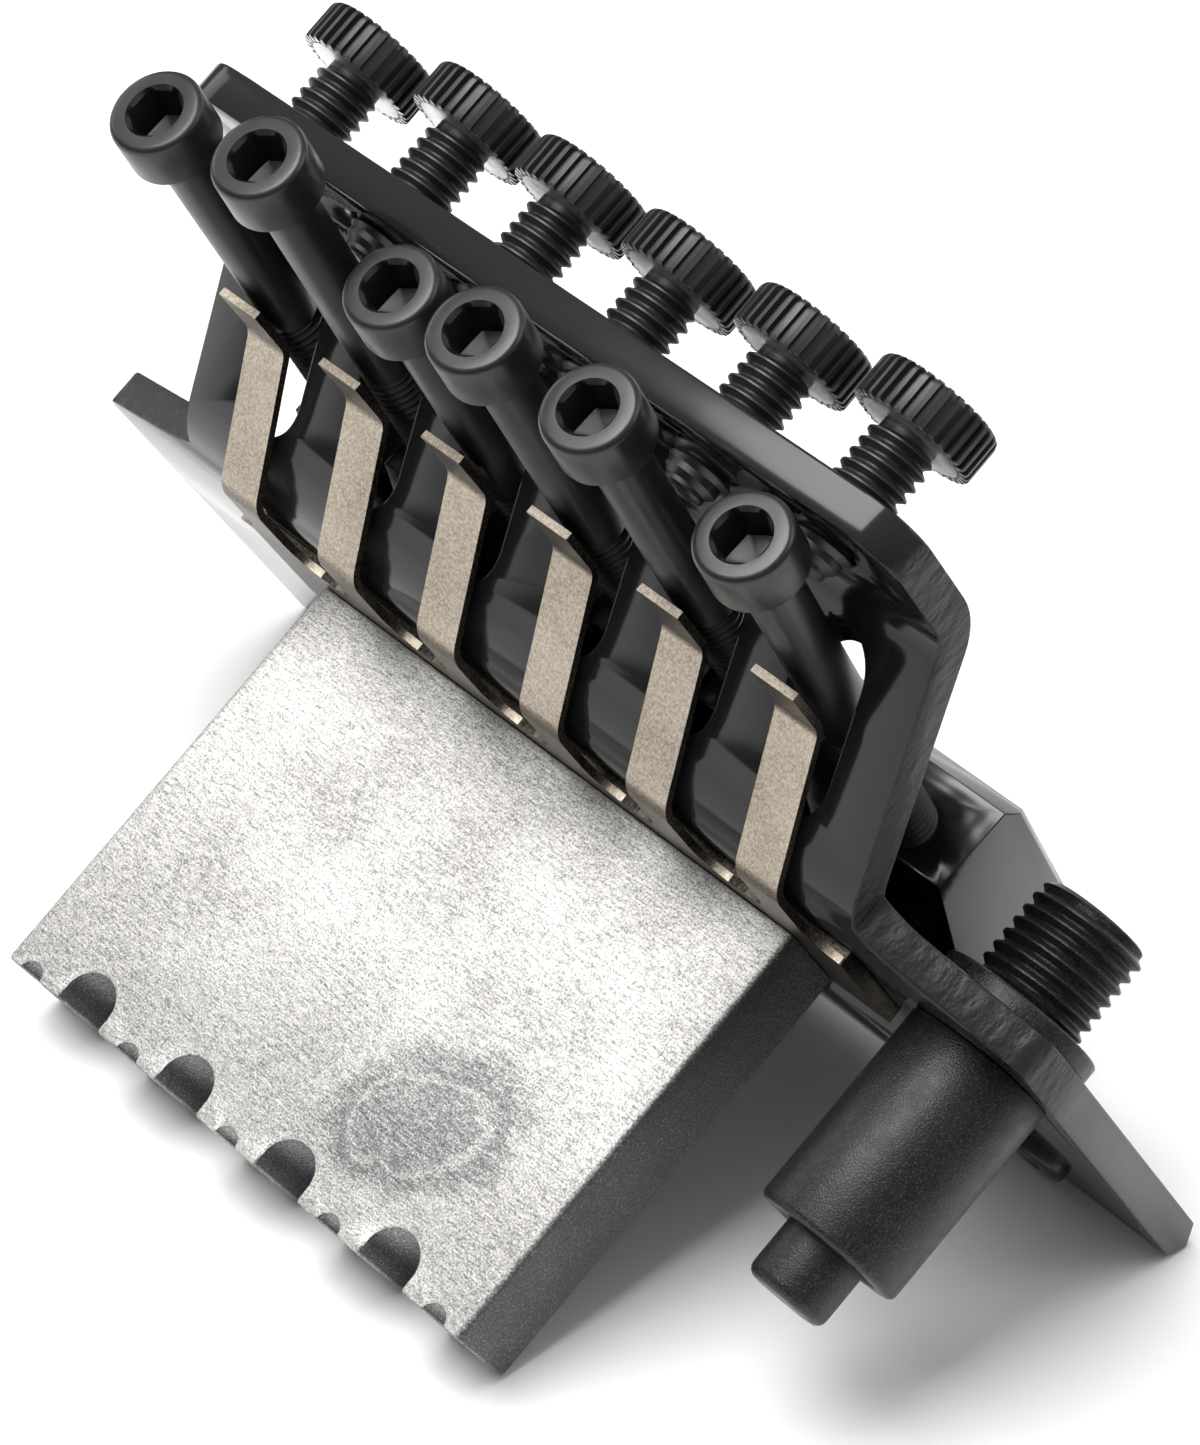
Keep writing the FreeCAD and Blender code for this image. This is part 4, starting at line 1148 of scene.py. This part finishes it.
def places_of(node):
    """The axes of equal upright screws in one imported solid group, found from its loose parts."""
    shell = bmesh.new()
    shell.from_mesh(frame["nodes"][node].data)
    bmesh.ops.remove_doubles(shell, verts=shell.verts, dist=WELD)
    left = set(shell.verts)
    spots = []
    while left:
        part = [left.pop()]
        for vert in part:
            for edge in vert.link_edges:
                other = edge.other_vert(vert)
                if other in left:
                    left.remove(other)
                    part.append(other)
        xs = [vert.co.x for vert in part]
        ys = [vert.co.y for vert in part]
        spots.append(((min(xs) + max(xs)) / 2, (min(ys) + max(ys)) / 2, 0))
    shell.free()
    return sorted(spots)


def screw_row(node, rings):
    """All screws of one packed group, as copies of one turned screw."""
    master = in_scene("one screw", turned("one screw", rings))
    spots = bpy.data.meshes.new("spots")
    spots.from_pydata(places_of(node), [], [])
    mesh = shade(grown(COPIES, spots, Copy=master, Finish=finishes["screw"]))
    bpy.data.objects.remove(master)
    add_piece(f"{node}_turned", mesh, PLATE_BODY, node, "screw")
    print(f"{node}: {len(spots.vertices)} screws")


print("copies tree ready")

# %% [markdown]
# The three kinds share the rings of their hexagon socket. The screws under the knife
# edges have their heads below, so their sockets face down.

# %% Small screws
RECESS_POINT = 0.4
RECESS_EDGE = 0.15
CORNER_SHARE = 0.6

HOLD_HEAD = 2.75
HOLD_HEAD_HEIGHT = 2.4
HOLD_EDGE = 0.4
HOLD_EDGE_ANGLE = 80
HOLD_RADIUS = 1.5
HOLD_TIP_EDGE = 0.3
HOLD_HEX = 2.5
HOLD_RECESS = 1.3

BLOCK_HEAD = 3.7
BLOCK_HEAD_DEPTH = 1.7
BLOCK_EDGE = 0.1
BLOCK_RADIUS = 2.0
BLOCK_TIP_EDGE = 0.4
BLOCK_HEX = 2.5
BLOCK_RECESS = 1.4

KNIFE_HEAD = 2.5
KNIFE_HEAD_HEIGHT = 1.0
KNIFE_DOME = 0.6
KNIFE_DOME_ANGLE = -80
KNIFE_FACE = 1.7
KNIFE_RADIUS = 1.3
KNIFE_HEX = 1.5
KNIFE_RECESS = 0.55


def socket_head(face, hex_width, recess, rim, way=1):
    """Rings of a hexagon socket from its bottom to the rim of the head's face, which looks up or down."""
    return [
        round_ring(face - way * (recess + RECESS_POINT), 0),
        hex_ring(face - way * recess, hex_width),
        hex_ring(face - way * RECESS_EDGE, hex_width),
        round_ring(face, hex_width * CORNER_SHARE),
        round_ring(face, rim),
    ]


hold_low, hold_high = heights_of("saddle_screws")
screw_row("saddle_screws", [
    *socket_head(hold_high, HOLD_HEX, HOLD_RECESS, HOLD_HEAD - HOLD_EDGE),
    *arc(hold_high - HOLD_EDGE, HOLD_HEAD - HOLD_EDGE, HOLD_EDGE, HOLD_EDGE_ANGLE, 0),
    round_ring(hold_high - HOLD_HEAD_HEIGHT, HOLD_HEAD),
    round_ring(hold_high - HOLD_HEAD_HEIGHT, HOLD_RADIUS),
    round_ring(hold_low + HOLD_TIP_EDGE, HOLD_RADIUS),
    round_ring(hold_low, HOLD_RADIUS - HOLD_TIP_EDGE),
    round_ring(hold_low, 0),
])
tip, head = heights_of("block_screws")
screw_row("block_screws", [
    *socket_head(head, BLOCK_HEX, BLOCK_RECESS, BLOCK_HEAD - BLOCK_EDGE),
    round_ring(head - BLOCK_EDGE, BLOCK_HEAD),
    round_ring(head - BLOCK_HEAD_DEPTH, BLOCK_RADIUS),
    round_ring(tip + BLOCK_TIP_EDGE, BLOCK_RADIUS),
    round_ring(tip, BLOCK_RADIUS - BLOCK_TIP_EDGE),
    round_ring(tip, 0),
])
dome, seat = heights_of("edge_screws")
screw_row("edge_screws", [
    *socket_head(dome, KNIFE_HEX, KNIFE_RECESS, KNIFE_FACE, way=-1),
    *arc(dome + KNIFE_DOME, KNIFE_HEAD - KNIFE_DOME, KNIFE_DOME, KNIFE_DOME_ANGLE, 0),
    round_ring(dome + KNIFE_HEAD_HEIGHT, KNIFE_HEAD),
    round_ring(dome + KNIFE_HEAD_HEIGHT, KNIFE_RADIUS),
    round_ring(seat, KNIFE_RADIUS),
    round_ring(seat, 0),
])

# %% [markdown]
# ## Leaf spring
# A comb of thin spring steel pushes the lock screws up against the fine tuners. Its
# strip is clamped under the plate and its six fingers bend up through the ramp.
# Every finger is its own piece, because each one is pressed down by its own tuner.

# %% Path of a finger
SHEET = 0.6
STRIP_BACK = -36.6
STRIP_OVERLAP = 0.2
FINGER_BEND = -44.0
FINGER_RISE = 9.3
FINGER_ANGLE = math.radians(45)
FINGER_END = -58.4
FINGER_HALF = 1.95
FOOT_RADIUS = 2.7
HEAD_RADIUS = 1.9
ROOT_RADIUS = 2.6
ROOT_STEPS = 8
BEND_STEPS = 6

spring_low, spring_high = (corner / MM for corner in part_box("leaf_spring"))
strip_level = spring_low.z + SHEET / 2


def bend(y, z, radius, start, stop):
    """Points and slopes round one bend whose straight legs would meet at y and z."""
    setback = radius * math.tan(FINGER_ANGLE / 2)
    way = 1 if start < stop else -1
    points = []
    for i in range(BEND_STEPS + 1):
        slope = start + (stop - start) * i / BEND_STEPS
        ahead = setback - radius * math.sin(slope)
        rise = radius * (1 - math.cos(slope))
        points.append((y + way * ahead, z + way * rise, slope))
    return points


def bent_path():
    """Points and slopes along the middle of a finger, from the strip to its tab."""
    top = strip_level + FINGER_RISE
    path = [(STRIP_BACK + STRIP_OVERLAP, strip_level, 0.0)]
    path += [(STRIP_BACK - ROOT_RADIUS * i / ROOT_STEPS, strip_level, 0.0) for i in range(ROOT_STEPS + 1)]
    path += bend(FINGER_BEND, strip_level, FOOT_RADIUS, 0.0, FINGER_ANGLE)
    path += bend(FINGER_BEND - FINGER_RISE, top, HEAD_RADIUS, FINGER_ANGLE, 0.0)
    path.append((FINGER_END, top, 0.0))
    return path


def half_width(y):
    """Half the finger's width: it flares into the strip with a round root."""
    run = STRIP_BACK - y
    if run >= ROOT_RADIUS:
        return FINGER_HALF
    short = ROOT_RADIUS - max(run, 0.0)
    return FINGER_HALF + ROOT_RADIUS - math.sqrt(ROOT_RADIUS ** 2 - short ** 2)


finger_path = bent_path()
print(f"a finger's path of {len(finger_path)} points")

# %% [markdown]
# A finger is a flat bar along that path, and the strip is a plain bar.

# %% Leaf spring
FINGER_OFFSET = 0.35
BAR_CORNERS = ((-1, -1), (1, -1), (1, 1), (-1, 1))


def spring_finger(middle):
    shape = bmesh.new()
    loops = []
    for y, z, slope in finger_path:
        half = across * half_width(y)
        lift = Vector((0, math.sin(slope), math.cos(slope))) * SHEET / 2
        centre = Vector((middle, y, z))
        loops.append([shape.verts.new(centre + half * u + lift * v) for u, v in BAR_CORNERS])
    for low, high in zip(loops, loops[1:]):
        for i in range(len(BAR_CORNERS)):
            j = (i + 1) % len(BAR_CORNERS)
            shape.faces.new([low[i], low[j], high[j], high[i]])
    shape.faces.new(loops[0])
    shape.faces.new(list(reversed(loops[-1])))
    return to_mesh("finger", shape)


def spring_strip():
    shape = bmesh.new()
    size = Vector((spring_high.x - spring_low.x, spring_high.y - STRIP_BACK, SHEET))
    middle = Vector(((spring_high.x + spring_low.x) / 2, (spring_high.y + STRIP_BACK) / 2, strip_level))
    bmesh.ops.create_cube(shape, size=1, matrix=Matrix.Translation(middle) @ Matrix.Diagonal((*size, 1)))
    return to_mesh("strip", shape)


add_piece("leaf_spring_strip", spring_strip(), PLATE_BODY, "leaf_spring", "clamped spring")
for k in STRINGS:
    mesh = spring_finger(foot_of(f"fine_tuner_{k}").x / MM + FINGER_OFFSET)
    finger = add_piece(f"spring_finger_{k}", mesh, PLATE_BODY, "leaf_spring", "spring")
    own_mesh(finger)
print("one strip and six fingers")

# %% [markdown]
# ## Last checks
# The dressed bridge should fill the same box as the imported solids, so both boxes are
# printed side by side.

# %% Boxes
visual_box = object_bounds()
boxes = {"cad": [list(corner) for corner in cad_box], "visual": [list(corner) for corner in visual_box]}
for name, (low, high) in boxes.items():
    print(name, [round(v / MM, 2) for v in low], [round(v / MM, 2) for v in high])
